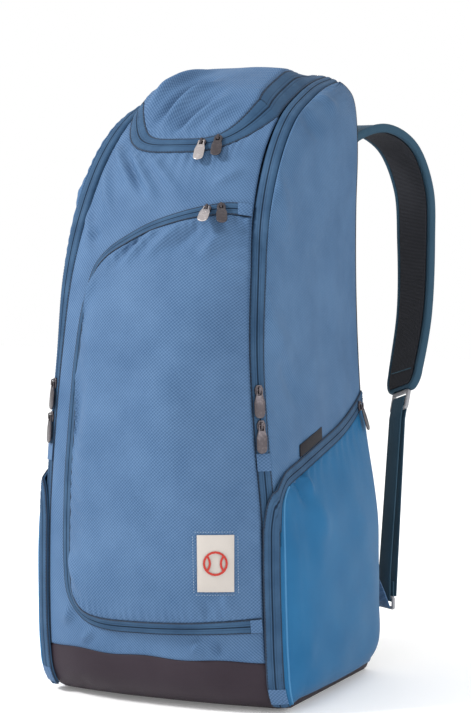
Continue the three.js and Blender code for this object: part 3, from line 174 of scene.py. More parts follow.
@dataclass
class BodySurface:
    """The bag's outer surface, over girth round the body and station up it."""

    height: float = 741.0
    half_width: float = 144.0
    depth: float = 305.0
    back_plane: float = 128.0
    crown: float = 29.0
    bulge: float = 9.6
    corner_tape: float = 23.0
    crown_shape: float = 2.6
    bulge_shape: float = 0.8
    blend: float = 1.2
    step: float = 0.002
    floor: float = -0.04
    top: float = 1.0
    sections: Sequence[Sequence[float]] = (
        # station, half, reach, height, crown, face, lean, tape, back half, back height, bulge
        (-0.04, 0.933, 0.827, 0.000, 0.25, 42, 0, 0.70, 0.960, 0.000, 0.0),
        (-0.02, 0.967, 0.896, 0.010, 0.55, 42, 0, 0.70, 0.993, 0.010, 0.2),
        (0.00, 0.980, 0.943, 0.031, 0.80, 42, 0, 0.70, 1.007, 0.031, 0.5),
        (0.05, 0.980, 0.975, 0.080, 0.97, 42, 0, 0.70, 1.020, 0.080, 0.8),
        (0.12, 0.973, 0.991, 0.162, 1.00, 42, 0, 0.70, 1.013, 0.162, 0.9),
        (0.22, 0.960, 0.994, 0.291, 0.97, 42, 0, 0.70, 0.987, 0.291, 0.9),
        (0.32, 0.907, 1.000, 0.415, 0.93, 41, 1, 0.70, 0.933, 0.415, 0.9),
        (0.43, 0.847, 0.987, 0.551, 0.90, 38, 6, 0.71, 0.887, 0.551, 0.8),
        (0.54, 0.807, 0.940, 0.674, 0.87, 20, 14, 0.76, 0.867, 0.676, 0.8),
        (0.63, 0.753, 0.868, 0.767, 0.87, 8, 24, 0.90, 0.867, 0.780, 0.9),
        (0.72, 0.708, 0.733, 0.859, 0.78, 6, 38, 1.00, 0.880, 0.872, 1.1),
        (0.80, 0.676, 0.563, 0.924, 0.26, 10, 54, 0.98, 0.867, 0.932, 1.1),
        (0.88, 0.650, 0.355, 0.965, 0.04, 18, 67, 0.88, 0.836, 0.964, 0.8),
        (0.95, 0.617, 0.167, 0.988, 0.06, 22, 77, 0.78, 0.782, 0.980, 0.4),
        (1.00, 0.583, 0.000, 1.000, 0.14, 22, 90, 0.74, 0.730, 0.989, 0.1),
    )

    def __post_init__(self) -> None:
        """Samples the sections finely, once."""
        rows = np.array(self.sections)
        self.stations = np.linspace(self.floor, self.top, 1401)
        self.columns = self._sampled(rows[:, 0], rows[:, 1:], self.stations)
        middle = self.point(np.full_like(self.stations, 60.0), self.stations)
        self.rise = running_length(middle)

    @staticmethod
    def _sampled(knots: Array, values: Array, wanted: Array) -> Array:
        """Cubic through the section rows, with straight ends.

        Args:
            knots: Stations of the rows.
            values: One row of sizes for each knot.
            wanted: Stations to read.

        Returns:
            One row of sizes for each wanted station.
        """
        high = np.clip(np.searchsorted(knots, wanted, side="right"), 1, len(knots) - 1)
        low = high - 1
        last = np.where(low > 0, low - 1, high)
        after = np.where(high < len(knots) - 1, high + 1, low)
        span = knots[high] - knots[low]
        pull_low = (0.5 * span / (knots[low] - knots[last]))[:, None]
        pull_high = (0.5 * span / (knots[after] - knots[high]))[:, None]
        t = ((wanted - knots[low]) / span)[:, None]
        tt, ttt = t * t, t * t * t
        return (
            (-pull_low * ttt + 2 * pull_low * tt - pull_low * t) * values[last]
            + ((1 + pull_low) * ttt + (-1.5 - 2 * pull_low) * tt + (pull_low - 0.5) * t + 1)
            * values[low]
            + ((-1 - pull_high) * ttt + (1.5 + pull_high) * tt + 0.5 * t) * values[high]
            + (pull_high * ttt - pull_high * tt) * values[after]
        )

    def section(self, station: Array) -> dict[str, Array]:
        """Sizes of the upright section at each station.

        Args:
            station: Where the sections are read.

        Returns:
            Lengths in millimetres and points, by name.
        """
        place = np.clip(station, self.floor, self.top)
        half, reach, height, crown, face, lean, tape, back, rise, bulge = (
            np.interp(place, self.stations, column) for column in self.columns.T
        )
        face, lean = np.radians(face), np.radians(lean)
        half = half * self.half_width
        front = np.stack([half, self.back_plane - reach * self.depth, height * self.height], -1)
        inward = np.stack([np.zeros_like(lean), np.cos(lean), -np.sin(lean)], -1)
        width = tape * self.corner_tape
        corner = front + inward * (width * np.sin(face))[..., None]
        corner[..., 0] += width * np.cos(face)
        rear = np.stack(
            [back * self.half_width, np.full_like(back, self.back_plane), rise * self.height], -1
        )
        return {
            "half": half,
            "tape": width,
            "front": front,
            "inward": inward,
            "corner": corner,
            "back": rear,
            "crown": crown * self.crown,
            "bulge": bulge * self.bulge,
            "deep": np.linalg.norm(rear - corner, axis=-1),
        }

    def girth(self, lane: Array, station: Array) -> Array:
        """Distance round the body at a lane: 1 front edge, 2 corner, 3 back edge, 4 back middle."""
        cut = self.section(station)
        parts = (cut["half"], cut["tape"], cut["deep"], cut["back"][..., 0])
        return sum(np.clip(lane - index, 0, 1) * part for index, part in enumerate(parts))

    def point(self, girth: Array, station: Array) -> Array:
        """Points of the surface.

        Args:
            girth: Distance round from the middle of the front, negative on the left.
            station: Station up the body.

        Returns:
            Points in millimetres.
        """
        cut = self.section(station)
        left = np.abs(girth)
        crown = cut["crown"] * (1 - np.clip(left / cut["half"], 0, 1) ** self.crown_shape)
        front = cut["front"] - cut["inward"] * crown[..., None]
        front[..., 0] = left
        over = left - cut["half"]
        share = np.clip(over / cut["tape"], 0, 1)[..., None]
        corner = cut["front"] + (cut["corner"] - cut["front"]) * share
        beyond = over - cut["tape"]
        share = np.clip(beyond / cut["deep"], 0, 1)
        side = cut["corner"] + (cut["back"] - cut["corner"]) * share[..., None]
        side[..., 0] += cut["bulge"] * (4 * share * (1 - share)) ** self.bulge_shape
        rear = cut["back"].copy()
        rear[..., 0] -= beyond - cut["deep"]
        within = (over <= 0, beyond <= 0, beyond <= cut["deep"])
        point = np.select([part[..., None] for part in within], [front, corner, side], rear)
        point[..., 0] *= np.where(girth < 0, -1, 1)
        return point

    def normal(self, girth: Array, station: Array) -> Array:
        """Outward directions, which next to a crease are the crease's own."""
        side = np.where(girth < 0, -1.0, 1.0)
        for lane in (1.0, 2.0, 3.0):
            crease = side * self.girth(np.full_like(girth, lane), station)
            girth = np.where(np.abs(crease - girth) < self.blend, crease, girth)
        across = self.point(girth + self.blend, station) - self.point(girth - self.blend, station)
        low = np.maximum(station - self.step, self.floor)
        high = np.minimum(station + self.step, self.top)
        share = girth / self.girth(np.full_like(girth, 4.0), station)
        up = self.point(share * self.girth(np.full_like(girth, 4.0), high), high)
        up -= self.point(share * self.girth(np.full_like(girth, 4.0), low), low)
        return unit(np.cross(across, up))

    def place(self, girth: Array, station: Array, height: Array | float) -> Array:
        """Points at a height over the surface, never behind the back seam."""
        lift = np.broadcast_to(height, girth.shape)[..., None]
        point = self.point(girth, station) + self.normal(girth, station) * lift
        point[..., 1] = np.minimum(point[..., 1], self.back_plane)
        return point

    def per_station(self, girth: Array, station: Array) -> Array:
        """Millimetres that one whole station spans."""
        low = np.maximum(station - self.step, self.floor)
        high = np.minimum(station + self.step, self.top)
        gap = np.linalg.norm(self.point(girth, high) - self.point(girth, low), axis=-1)
        return gap / (high - low)

    def length(self, station: Array) -> Array:
        """Distance up the front from the floor, in millimetres."""
        return np.interp(station, self.stations, self.rise)

    def moved(self, line: Array, distance: float | Array) -> Array:
        """A line of (girth, station) moved sideways over the surface.

        Args:
            line: One row of girth and station for each place.
            distance: How far to the left of its run, in millimetres.

        Returns:
            The moved line.
        """
        girth, station = line.T
        length = self.per_station(girth, station)
        run = np.gradient(girth)
        rise = np.gradient(station) * length
        size = np.hypot(run, rise)
        return np.stack(
            [
                girth - rise / size * distance,
                np.minimum(station + run / size * distance / length, self.top),
            ],
            axis=1,
        )


BODY = BodySurface()


def round_rings(line: Array, radius: float, sides: int = 10, facing: Array | None = None) -> Array:
    """Rings of points round a line.

    Args:
        line: Points in millimetres.
        radius: Radius of the rings.
        sides: Points in one ring.
        facing: Directions across the line at its points, level and forward if left out.

    Returns:
        Array of rings, points and three coordinates.
    """
    ahead = unit(np.gradient(line, axis=0))
    side = unit(np.cross(ahead, (0.0, 1.0, 0.0) if facing is None else facing))
    over = np.cross(side, ahead)
    angle = np.linspace(0, math.tau, sides, endpoint=False)[None, :, None]
    return line[:, None] + radius * (side[:, None] * np.cos(angle) + over[:, None] * np.sin(angle))


def coons_fill(bottom: Array, top: Array, left: Array, right: Array) -> Array:
    """Grid of values inside four edge lines.

    Args:
        bottom: Lower edge, left to right.
        top: Upper edge, left to right.
        left: Left edge, bottom to top.
        right: Right edge, bottom to top.

    Returns:
        Array of rows, columns and values.
    """
    p = np.linspace(0, 1, len(bottom))[None, :, None]
    q = np.linspace(0, 1, len(left))[:, None, None]
    ruled = (1 - q) * bottom[None] + q * top[None] + (1 - p) * left[:, None] + p * right[:, None]
    corners = (1 - p) * (1 - q) * bottom[0] + p * (1 - q) * bottom[-1]
    return ruled - corners - (1 - p) * q * top[0] - p * q * top[-1]


@dataclass(frozen=True)
class Fold:
    """A soft ridge or dent in cloth, between two (girth, station) places."""

    start: tuple[float, float]
    end: tuple[float, float]
    width: float
    height: float
    fade_in: tuple[float, float] = (-0.1, 0.35)
    fade_out: tuple[float, float] = (0.5, 1.1)

    def relief(self, girth: Array, length: Array) -> Array:
        """Height that the fold adds.

        Args:
            girth: Girth of each point, in millimetres.
            length: Distance up the front of each point, in millimetres.

        Returns:
            The added height.
        """
        ends = np.array([self.start, self.end], float)
        ends[:, 1] = BODY.length(ends[:, 1])
        run = ends[1] - ends[0]
        share = ((girth - ends[0, 0]) * run[0] + (length - ends[0, 1]) * run[1]) / (run @ run)
        inside = np.clip(share, 0, 1)
        away = np.hypot(girth - ends[0, 0] - inside * run[0], length - ends[0, 1] - inside * run[1])
        fade = smooth_step(share, *self.fade_in) * (1 - smooth_step(share, *self.fade_out))
        return self.height * np.exp(-((away / self.width) ** 2)) * fade


@dataclass(frozen=True)
class Gathers:
    """Small puckers that run from a sewn edge into the cloth."""

    pitch: float
    depth: float
    reach: float
    seed: int
    clear: float = 4.0
    drift_pitches: int = 6
    strength_pitches: int = 9
    steady: float = 0.6

    def relief(self, along: Array, away: Array) -> Array:
        """Height of the puckers at distances along and away from the edge."""
        level = along * 0
        drift = soft_noise(along, level, self.pitch * self.drift_pitches, self.seed)
        uneven = soft_noise(along, level, self.pitch * self.strength_pitches, self.seed + 1)
        strength = self.steady + (1 - self.steady) * uneven
        wave = np.sin((along + drift * self.pitch / 2) * math.tau / self.pitch)
        rise = smooth_step(away, 0, self.clear)
        return self.depth * strength * wave * rise * np.exp(-away / self.reach)


@dataclass(frozen=True)
class Swell:
    """Soft unevenness of a whole cloth, which fades out at its edges."""

    height: float
    size: float
    seed: int
    reach: float
    sides: str = "lrbt"


@dataclass
class ClothGrid:
    """Rows and columns of places on the body, with heights over it."""

    girth: Array
    station: Array
    height: Array

    def __post_init__(self) -> None:
        """Measures the flat grid once."""
        points = BODY.place(self.girth, self.station, self.height)
        across = np.linalg.norm(np.diff(points, axis=1), axis=-1)
        upward = np.linalg.norm(np.diff(points, axis=0), axis=-1)
        zero_column = np.zeros((len(points), 1))
        zero_row = np.zeros((1, points.shape[1]))
        self.from_left = np.concatenate([zero_column, np.cumsum(across, axis=1)], axis=1)
        self.from_low = np.concatenate([zero_row, np.cumsum(upward, axis=0)], axis=0)
        self.from_right = self.from_left[:, -1:] - self.from_left
        self.from_high = self.from_low[-1:] - self.from_low
        self.length = BODY.length(self.station)

    def edge(self, sides: str = "lrbt") -> Array:
        """Distance from the nearest of the named edges: l, r, b or t."""
        known = {"l": self.from_left, "r": self.from_right, "b": self.from_low, "t": self.from_high}
        return np.minimum.reduce([known[side] for side in sides])

    def pucker(self, sides: str, gathers: Gathers) -> None:
        """Adds puckers along the named edges."""
        for number, side in enumerate(sides):
            along = self.from_low if side in "lr" else self.from_left
            shifted = replace(gathers, seed=gathers.seed + 7 * number)
            self.height = self.height + shifted.relief(along, self.edge(side))

    def gather(self, rows: Sequence[tuple[str, Gathers]]) -> None:
        """Adds every row of puckers along its edges."""
        for sides, gathers in rows:
            self.pucker(sides, gathers)

    def swell(self, swell: Swell) -> None:
        """Adds soft unevenness."""
        waves = soft_noise(self.girth, self.length, swell.size, swell.seed)
        fade = smooth_step(self.edge(swell.sides), 0, swell.reach)
        self.height = self.height + swell.height * waves * fade

    def fold(self, folds: Sequence[Fold], keep_edge: float, strength: float) -> None:
        """Adds folds that fade out at the sewn edges."""
        fade = smooth_step(self.edge(), 0, keep_edge)
        for crease in folds:
            self.height = self.height + crease.relief(self.girth, self.length) * fade * strength

    def roll_edges(self, sides: str, drop: float, width: float) -> None:
        """Turns the named edges down into their seams."""
        self.height = self.height - drop * np.exp(-((self.edge(sides) / width) ** 2))

    def points(self) -> Array:
        """The grid's points, in millimetres."""
        return BODY.place(self.girth, self.station, self.height)


class MeshMaker:
    """Turns grids, rings and tubes of points into Blender meshes."""

    @staticmethod
    def link(name: str, data: bpy.types.Mesh, uv: Array | None = None) -> bpy.types.Object:
        """Shows a mesh as a smooth object.

        Args:
            name: Name of the object.
            data: Its mesh.
            uv: Flat cloth place of each point, or of each face's corner, in metres.

        Returns:
            The new object.
        """
        if uv is not None:
            layer = data.uv_layers.get("cloth") or data.uv_layers.new(name="cloth")
            if len(uv) != len(data.loops):
                order = np.zeros(len(data.loops), int)
                data.loops.foreach_get("vertex_index", order)
                uv = uv[order]
            layer.data.foreach_set("uv", uv.ravel().astype(np.float32))
        data.shade_smooth()
        made = bpy.data.objects.new(name, data)
        bpy.context.scene.collection.objects.link(made)
        return made

    @staticmethod
    def mesh(
        name: str, points: Array, faces: Sequence[Sequence[int]], uv: Array | None = None
    ) -> bpy.types.Object:
        """Makes one smooth mesh object.

        Args:
            name: Name of the object.
            points: Points in millimetres.
            faces: Rows of point numbers.
            uv: Flat cloth place of each point, or of each face's corner, in metres.

        Returns:
            The new object.
        """
        data = bpy.data.meshes.new(name)
        data.from_pydata((points * METRE).tolist(), [], faces)
        return MeshMaker.link(name, data, uv)

    @staticmethod
    def quads(rows: int, columns: int, closed: bool = False) -> Array:
        """Faces of a grid, with its columns joined round if it is closed."""
        numbers = np.arange(rows * columns).reshape(rows, columns)
        if closed:
            numbers = np.concatenate([numbers, numbers[:, :1]], axis=1)
        corners = [numbers[:-1, :-1], numbers[:-1, 1:], numbers[1:, 1:], numbers[1:, :-1]]
        return np.stack([corner.ravel() for corner in corners], axis=1)

    @classmethod
    def cloth(
        cls,
        name: str,
        grid: ClothGrid,
        turn_in: float = 2.5,
        uv: tuple[Array, Array] | None = None,
        left: bool = False,
    ) -> bpy.types.Object:
        """Makes a sheet whose edges are turned in.

        Args:
            name: Name of the object.
            grid: Places of the sheet.
            turn_in: How deep its edges are turned, in millimetres.
            uv: Flat place of each point, in millimetres, or None for the body's own.
            left: Whether the sheet is made on the bag's left side instead.

        Returns:
            The new object.
        """
        points = grid.points()
        normals = BODY.normal(grid.girth, grid.station)
        flat = uv if uv is not None else (grid.girth, grid.length)
        pad = ((1, 1), (1, 1))
        points = np.pad(points, (*pad, (0, 0)), mode="edge")
        normals = np.pad(normals, (*pad, (0, 0)), mode="edge")
        ring = np.ones(points.shape[:2], bool)
        ring[1:-1, 1:-1] = False
        points[ring] -= normals[ring] * turn_in
        points[..., 1] = np.minimum(points[..., 1], BODY.back_plane)
        cloth_uv = np.stack([np.pad(part, pad, mode="edge") for part in flat], -1) * METRE
        if left:
            points[..., 0] *= -1
            points, cloth_uv = points[:, ::-1], cloth_uv[:, ::-1]
        rows, columns = points.shape[:2]
        return cls.mesh(
            name, points.reshape(-1, 3), cls.quads(rows, columns).tolist(), cloth_uv.reshape(-1, 2)
        )

    @staticmethod
    def sweep(name: str, rings: Array, left: bool = False) -> bpy.types.Object:
        """Makes a closed solid from rings of points along a path.

        Args:
            name: Name of the object.
            rings: Array of rings, points and three coordinates, in millimetres.
            left: Whether the piece is made on the bag's left side instead.

        Returns:
            The new object.
        """
        count, sides = rings.shape[:2]
        along = running_length(rings.mean(axis=1))
        widest = rings[count // 2]
        girth = running_length(np.concatenate([widest, widest[:1]]))
        row, column = np.divmod(np.arange((count - 1) * sides), sides)
        u = girth[np.stack([column, column + 1, column + 1, column], axis=1)]
        v = along[np.stack([row, row, row + 1, row + 1], axis=1)]
        uv = np.stack([u, v], axis=-1) * METRE
        points = rings.reshape(-1, 3).copy()
        quads = MeshMaker.quads(count, sides, closed=True)
        caps = [list(range(sides))[::-1], list(range((count - 1) * sides, count * sides))]
        if left:
            points[:, 0] *= -1
            quads, uv = quads[:, ::-1], uv[:, ::-1]
            caps = [cap[::-1] for cap in caps]
        uv = np.concatenate([uv.reshape(-1, 2), np.zeros((2 * sides, 2))])
        return MeshMaker.mesh(name, points, quads.tolist() + caps, uv)


class Wiring:
    """Small helper that adds and links the nodes of one material."""

    def __init__(self, name: str) -> None:
        """Starts an empty material with its shader."""
        self.material = bpy.data.materials.new(name)
        self.material.use_nodes = True
        self.tree = self.material.node_tree
        self.tree.nodes.clear()
        output = self.tree.nodes.new("ShaderNodeOutputMaterial")
        self.shader = self.tree.nodes.new("ShaderNodeBsdfPrincipled")
        self.tree.links.new(self.shader.outputs[0], output.inputs[0])

    def add(self, kind: str, sockets: dict[str | int, object] | None = None, **facts: object):
        """Adds a node.

        Args:
            kind: Node type, without its ShaderNode prefix.
            sockets: Values or links by input name or number.
            facts: Attributes of the node.

        Returns:
            The new node.
        """
        node = self.tree.nodes.new("ShaderNode" + kind)
        for name, value in facts.items():
            setattr(node, name, value)
        for name, value in (sockets or {}).items():
            if isinstance(value, bpy.types.NodeSocket):
                self.tree.links.new(value, node.inputs[name])
            else:
                node.inputs[name].default_value = value
        return node

    def math(self, operation: str, *values: object) -> bpy.types.NodeSocket:
        """Output of a math node over one to three values or links."""
        return self.add("Math", dict(enumerate(values)), operation=operation).outputs[0]

    def flat_place(self, turn: float = 0.0) -> tuple[bpy.types.NodeSocket, bpy.types.NodeSocket]:
        """The cloth's own two coordinates in millimetres, turned by an angle in degrees."""
        place = self.add("UVMap", uv_map="cloth").outputs[0]
        turned = self.add(
            "Mapping",
            {0: place, "Rotation": (0, 0, math.radians(turn)), "Scale": (1000, 1000, 1000)},
        )
        parts = self.add("SeparateXYZ", {0: turned.outputs[0]})
        return parts.outputs[0], parts.outputs[1]

    def noise(self, size: float, detail: float = 3.0) -> bpy.types.NodeSocket:
        """Even noise in space, whose features are about one size, in millimetres."""
        place = self.add("TexCoord").outputs["Object"]
        sockets = {0: place, "Scale": 1000 / size, "Detail": detail, "Roughness": 0.55}
        return self.add("TexNoise", sockets).outputs[0]

    def ramp(self, value: bpy.types.NodeSocket, low: float, high: float) -> bpy.types.NodeSocket:
        """A value mapped so that low gives 0 and high gives 1."""
        return self.add("MapRange", {0: value, 1: low, 2: high}).outputs[0]

    def blend(self, share: object, first: object, second: object) -> bpy.types.NodeSocket:
        """Mixes two colours or colour links."""
        return self.add("Mix", {0: share, 6: first, 7: second}, data_type="RGBA").outputs[2]

    def finish(
        self, colour: object, height: object, relief: float, facts: dict[str, float]
    ) -> bpy.types.Material:
        """Sets the shader.

        Args:
            colour: Colour link.
            height: Link with the relief from 0 to 1.
            relief: Height of the relief, in millimetres.
            facts: Constant shader values by socket name.

        Returns:
            The material.
        """
        self.tree.links.new(colour, self.shader.inputs["Base Color"])
        bump = self.add("Bump", {"Height": height, "Distance": relief * METRE, "Strength": 1.0})
        self.tree.links.new(bump.outputs[0], self.shader.inputs["Normal"])
        for name, value in facts.items():
            self.shader.inputs[name].default_value = value
        return self.material


def shade(
    red: int, green: int, blue: int, lit: float = LIGHT_ON_BAG
) -> tuple[float, float, float, float]:
    """Colour as it should show on a screen, turned into a surface colour.

    Args:
        red: Red from 0 to 255.
        green: Green from 0 to 255.
        blue: Blue from 0 to 255.
        lit: Light on the surface, as a multiple of the plain backdrop's.

    Returns:
        Linear red, green, blue and an alpha of 1.
    """
    parts = [part / 255 for part in (red, green, blue)]
    light = [p / 12.92 if p <= 0.04045 else ((p + 0.055) / 1.055) ** 2.4 for p in parts]
    return (*(part / lit for part in light), 1.0)


class Weave(Enum):
    """How a cloth's threads show."""

    DIAMOND = "raised lines both ways"
    RIB = "raised lines mostly one way"
    PLAIN = "fine even threads"


@dataclass(frozen=True)
class WovenFinish:
    """A woven cloth with raised lines and slight unevenness."""

    name: str
    dark: tuple[float, float, float, float]
    light: tuple[float, float, float, float]
    weave: Weave
    pitch: float = 3.4
    turn: float = 45.0
    relief: float = 0.28
    roughness: float = 0.62
    sharpness: float = 1.6
    fuzz: float = 0.22
    patches: float = 0.28
    patch_size: float = 55.0

    def build(self) -> bpy.types.Material:
        """Makes the material."""
        wires = Wiring(self.name)
        u, v = wires.flat_place(self.turn)
        lines = [
            wires.math("POWER", wires.math("ABSOLUTE", wires.math("SINE", part)), self.sharpness)
            for part in (wires.math("MULTIPLY", place, math.pi / self.pitch) for place in (u, v))
        ]
        if self.weave is Weave.PLAIN:
            height = wires.math("MULTIPLY", lines[0], lines[1])
        else:
            weaker = 0.75 if self.weave is Weave.DIAMOND else 0.4
            height = wires.math("SUBTRACT", 1.0, lines[0])
            height = wires.math("MULTIPLY_ADD", lines[1], -weaker, height)
            height = wires.ramp(height, -weaker, 1.0)
        thread = wires.noise(0.9, 2.0)
        height = wires.math("MULTIPLY_ADD", thread, self.fuzz, height)
        patchy = wires.ramp(wires.noise(self.patch_size, 4.0), 0.3, 0.7)
        woven = wires.math("MULTIPLY", height, 1 - self.patches)
        tone = wires.math("MULTIPLY_ADD", patchy, self.patches, woven)
        colour = wires.blend(tone, self.dark, self.light)
        facts = {"Roughness": self.roughness, "Specular IOR Level": SHINE}
        return wires.finish(colour, height, self.relief, facts)


@dataclass(frozen=True)
class TapeFinish:
    """Smooth zip tape with a dark line where its two halves meet, and painted crease shade along
    its two lips.
    """

    name: str
    cloth: tuple[float, float, float, float]
    light: tuple[float, float, float, float]
    # Dark colour of the joint, also mixed in along the lips as painted crease shade.
    line: tuple[float, float, float, float]
    slit: float = 0.75
    lips: float = 2.9

    def build(self) -> bpy.types.Material:
        """Makes the material."""
        wires = Wiring(self.name)
        along, across = wires.flat_place()
        away = wires.math("ABSOLUTE", across)
        slit = wires.ramp(away, self.slit * 1.5, self.slit * 0.6)
        beside = wires.math("ABSOLUTE", wires.math("SUBTRACT", away, self.lips))
        lips = wires.ramp(beside, 0.55, 0.1)
        teeth = wires.math("SINE", wires.math("MULTIPLY", along, math.tau / 1.5))
        weave = wires.math("SINE", wires.math("MULTIPLY", across, math.tau / 0.8))
        grain = wires.math("MULTIPLY_ADD", weave, 0.15, wires.noise(0.8, 2.0))
        height = wires.math("MULTIPLY_ADD", wires.math("MULTIPLY", teeth, slit), 0.5, grain)
        patchy = wires.ramp(wires.noise(30.0, 3.0), 0.3, 0.7)
        tone = wires.math("MULTIPLY_ADD", grain, 0.3, wires.math("MULTIPLY", patchy, 0.6))
        plain = wires.blend(tone, self.cloth, self.light)
        # Painted crease shade: the tape darkens towards the dark colour along its lips.
        with_painted_crease_shade = wires.blend(wires.math("MULTIPLY", lips, 0.35), plain, self.line)
        colour = wires.blend(wires.math("MULTIPLY", slit, 0.85), with_painted_crease_shade, self.line)
        facts = {"Roughness": 0.66, "Specular IOR Level": SHINE}
        return wires.finish(colour, height, 0.16, facts)


@dataclass(frozen=True)
class CastFinish:
    """Cast metal or moulded plastic with faint wear."""

    name: str
    base: tuple[float, float, float, float]
    worn: tuple[float, float, float, float]
    metallic: float
    roughness: float
    grain: float = 0.05

    def build(self) -> bpy.types.Material:
        """Makes the material."""
        wires = Wiring(self.name)
        scuffs = wires.ramp(wires.noise(4.0, 6.0), 0.52, 0.72)
        colour = wires.blend(scuffs, self.base, self.worn)
        facts = {"Metallic": self.metallic, "Roughness": self.roughness}
        return wires.finish(colour, wires.noise(0.7, 3.0), self.grain, facts)


@dataclass(frozen=True)
class AirMeshFinish:
    """Knitted spacer mesh with a grid of small holes."""

    name: str
    thread: tuple[float, float, float, float]
    hole: tuple[float, float, float, float]
    pitch: float = 2.6

    def build(self) -> bpy.types.Material:
        """Makes the material."""
        wires = Wiring(self.name)
        u, v = wires.flat_place(45.0)
        turns = [wires.math("MULTIPLY", part, math.tau / self.pitch) for part in (u, v)]
        waves = [wires.math("SINE", turn) for turn in turns]
        height = wires.ramp(wires.math("MULTIPLY", waves[0], waves[1]), -0.6, 0.5)
        fuzz = wires.math("MULTIPLY_ADD", wires.noise(0.6, 3.0), 0.3, height)
        colour = wires.blend(height, self.hole, self.thread)
        facts = {"Roughness": 0.85, "Specular IOR Level": SHINE}
        return wires.finish(colour, fuzz, 0.5, facts)


class Finishes:
    """Every material of the bag, made once."""

    def __init__(self) -> None:
        """Builds the materials."""
        denim, pale = shade(60, 96, 138), shade(113, 149, 191)
        self.ribbed = WovenFinish(
            "ribbed_denim_blue", denim, pale, Weave.RIB, pitch=2.7, turn=-45.0
        ).build()
        self.side = WovenFinish(
            "side_denim_blue", shade(60, 99, 142), shade(110, 149, 191), Weave.DIAMOND,
            pitch=2.7, turn=40.0,
        ).build()
        self.diamond = WovenFinish(
            "diamond_denim_blue", denim, pale, Weave.DIAMOND, pitch=2.7, relief=0.3
        ).build()
        self.bright = WovenFinish(
            "bright_blue", shade(30, 104, 156), shade(58, 136, 190), Weave.PLAIN,
            pitch=0.8, turn=0.0, relief=0.06, roughness=0.5,
        ).build()
        self.base = WovenFinish(
            "dark_base_cloth", shade(51, 41, 50), shade(77, 67, 76), Weave.PLAIN,
            pitch=0.9, turn=0.0, relief=0.07, roughness=0.55,
        ).build()
        self.webbing = WovenFinish(
            "teal_webbing", shade(42, 74, 94), shade(72, 106, 128), Weave.RIB,
            pitch=1.7, turn=45.0, relief=0.25, roughness=0.7,
        ).build()
        self.strap = WovenFinish(
            "teal_strap_cloth", shade(46, 80, 102), shade(76, 112, 136), Weave.PLAIN,
            pitch=1.0, turn=0.0, relief=0.1,
        ).build()
        self.label = WovenFinish(
            "cream_label", shade(220, 211, 203), shade(244, 237, 230), Weave.PLAIN,
            pitch=0.7, turn=0.0, relief=0.05, roughness=0.5,
        ).build()
        self.tag = WovenFinish(
            "dark_tag", shade(30, 28, 32), shade(60, 58, 64), Weave.RIB,
            pitch=0.9, turn=0.0, relief=0.08,
        ).build()
        self.tape = TapeFinish(
            "zip_tape", shade(52, 86, 121), shade(78, 114, 150), shade(24, 41, 62)
        ).build()
        self.sky = WovenFinish(
            "bright_piping", shade(70, 140, 196), shade(104, 172, 220), Weave.PLAIN,
            pitch=0.8, turn=0.0, relief=0.05,
        ).build()
        self.mesh = AirMeshFinish("black_air_mesh", shade(84, 86, 94), shade(18, 19, 22)).build()
        self.red = CastFinish("red_print", shade(212, 42, 24), shade(226, 62, 42), 0.0, 0.6).build()
        self.dark_metal = CastFinish(
            "dark_nickel", shade(84, 79, 82, 1), shade(104, 98, 100, 1), 1.0, 0.3
        ).build()
        self.silver = CastFinish(
            "bright_nickel", shade(182, 175, 175, 1), shade(205, 199, 198, 1), 1.0, 0.27
        ).build()
        self.plastic = CastFinish(
            "pale_plastic", shade(186, 186, 192), shade(206, 206, 210), 0.0, 0.42, 0.08
        ).build()
        # Real thread, kept dark to paint pucker shade along the band stitches; also the colour of
        # the cords that paint seam shadow.
        self.thread = CastFinish(
            "dark_thread_and_seam_shadow", shade(30, 52, 78), shade(44, 70, 98), 0.0, 0.8
        ).build()
        self.strap_thread = CastFinish(
            "strap_thread", shade(66, 108, 130), shade(84, 124, 146), 0.0, 0.8
        ).build()
        self.pale_thread = CastFinish(
            "pale_thread", shade(170, 192, 214), shade(196, 212, 228), 0.0, 0.8
        ).build()


def dress(
    piece: bpy.types.Object, material: bpy.types.Material, nodes: Sequence[str] = ()
) -> bpy.types.Object:
    """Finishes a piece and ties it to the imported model.

    Args:
        piece: The new object.
        material: Its material.
        nodes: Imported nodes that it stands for.

    Returns:
        The same object.
    """
    piece.data.materials.clear()
    piece.data.materials.append(material)
    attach(piece, "root")
    if nodes:
        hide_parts(*nodes)
    LOG.info("%s: %d faces", piece.name, len(piece.data.polygons))
    return piece


SIDES = (("right", False), ("left", True))


@dataclass(frozen=True)
class Stitches:
    """Rows of short raised stitches."""

    length: float = 2.3
    pitch: float = 3.7
    radius: float = 0.32
    tip: float = 0.05

    def run(
        self, name: str, line: Array, normals: Array, material: bpy.types.Material, slot: str,
        left: bool = False,
    ) -> bpy.types.Object:
        """Makes the stitches along a line.

        Args:
            name: Name of the piece.
            line: Points in millimetres.
            normals: Outward direction at each point.
            material: The thread's material.
            slot: Not used.
            left: Whether the piece is made on the bag's left side instead.

        Returns:
            The new object.
        """
        along = running_length(line)
        spots = np.arange(self.pitch, along[-1] - self.pitch, self.pitch)
        centre, ahead, out = (
            read_rows(spots, along, rows) for rows in (line, np.gradient(line, axis=0), normals)
        )
        ahead = unit(ahead)
        side = np.cross(ahead, out)
        profile = ((-0.5, 0.0), (-0.3, 1.0), (0.3, 1.0), (0.5, 0.0))
        corners = ((1, 0), (0, 1), (-1, 0), (0, -1))
        points = np.stack(
            [
                centre
                + ahead * share * self.length
                + (side * x + out * y) * self.radius * max(size, self.tip)
                for share, size in profile
                for x, y in corners
            ],
            axis=1,
        )
        one = MeshMaker.quads(len(profile), len(corners), closed=True)
        faces = np.concatenate([one + start * points.shape[1] for start in range(len(spots))])
        points = points.reshape(-1, 3)
        if left:
            points[:, 0] *= -1
            faces = faces[:, ::-1]
        return dress(MeshMaker.mesh(name, points, faces.tolist()), material)


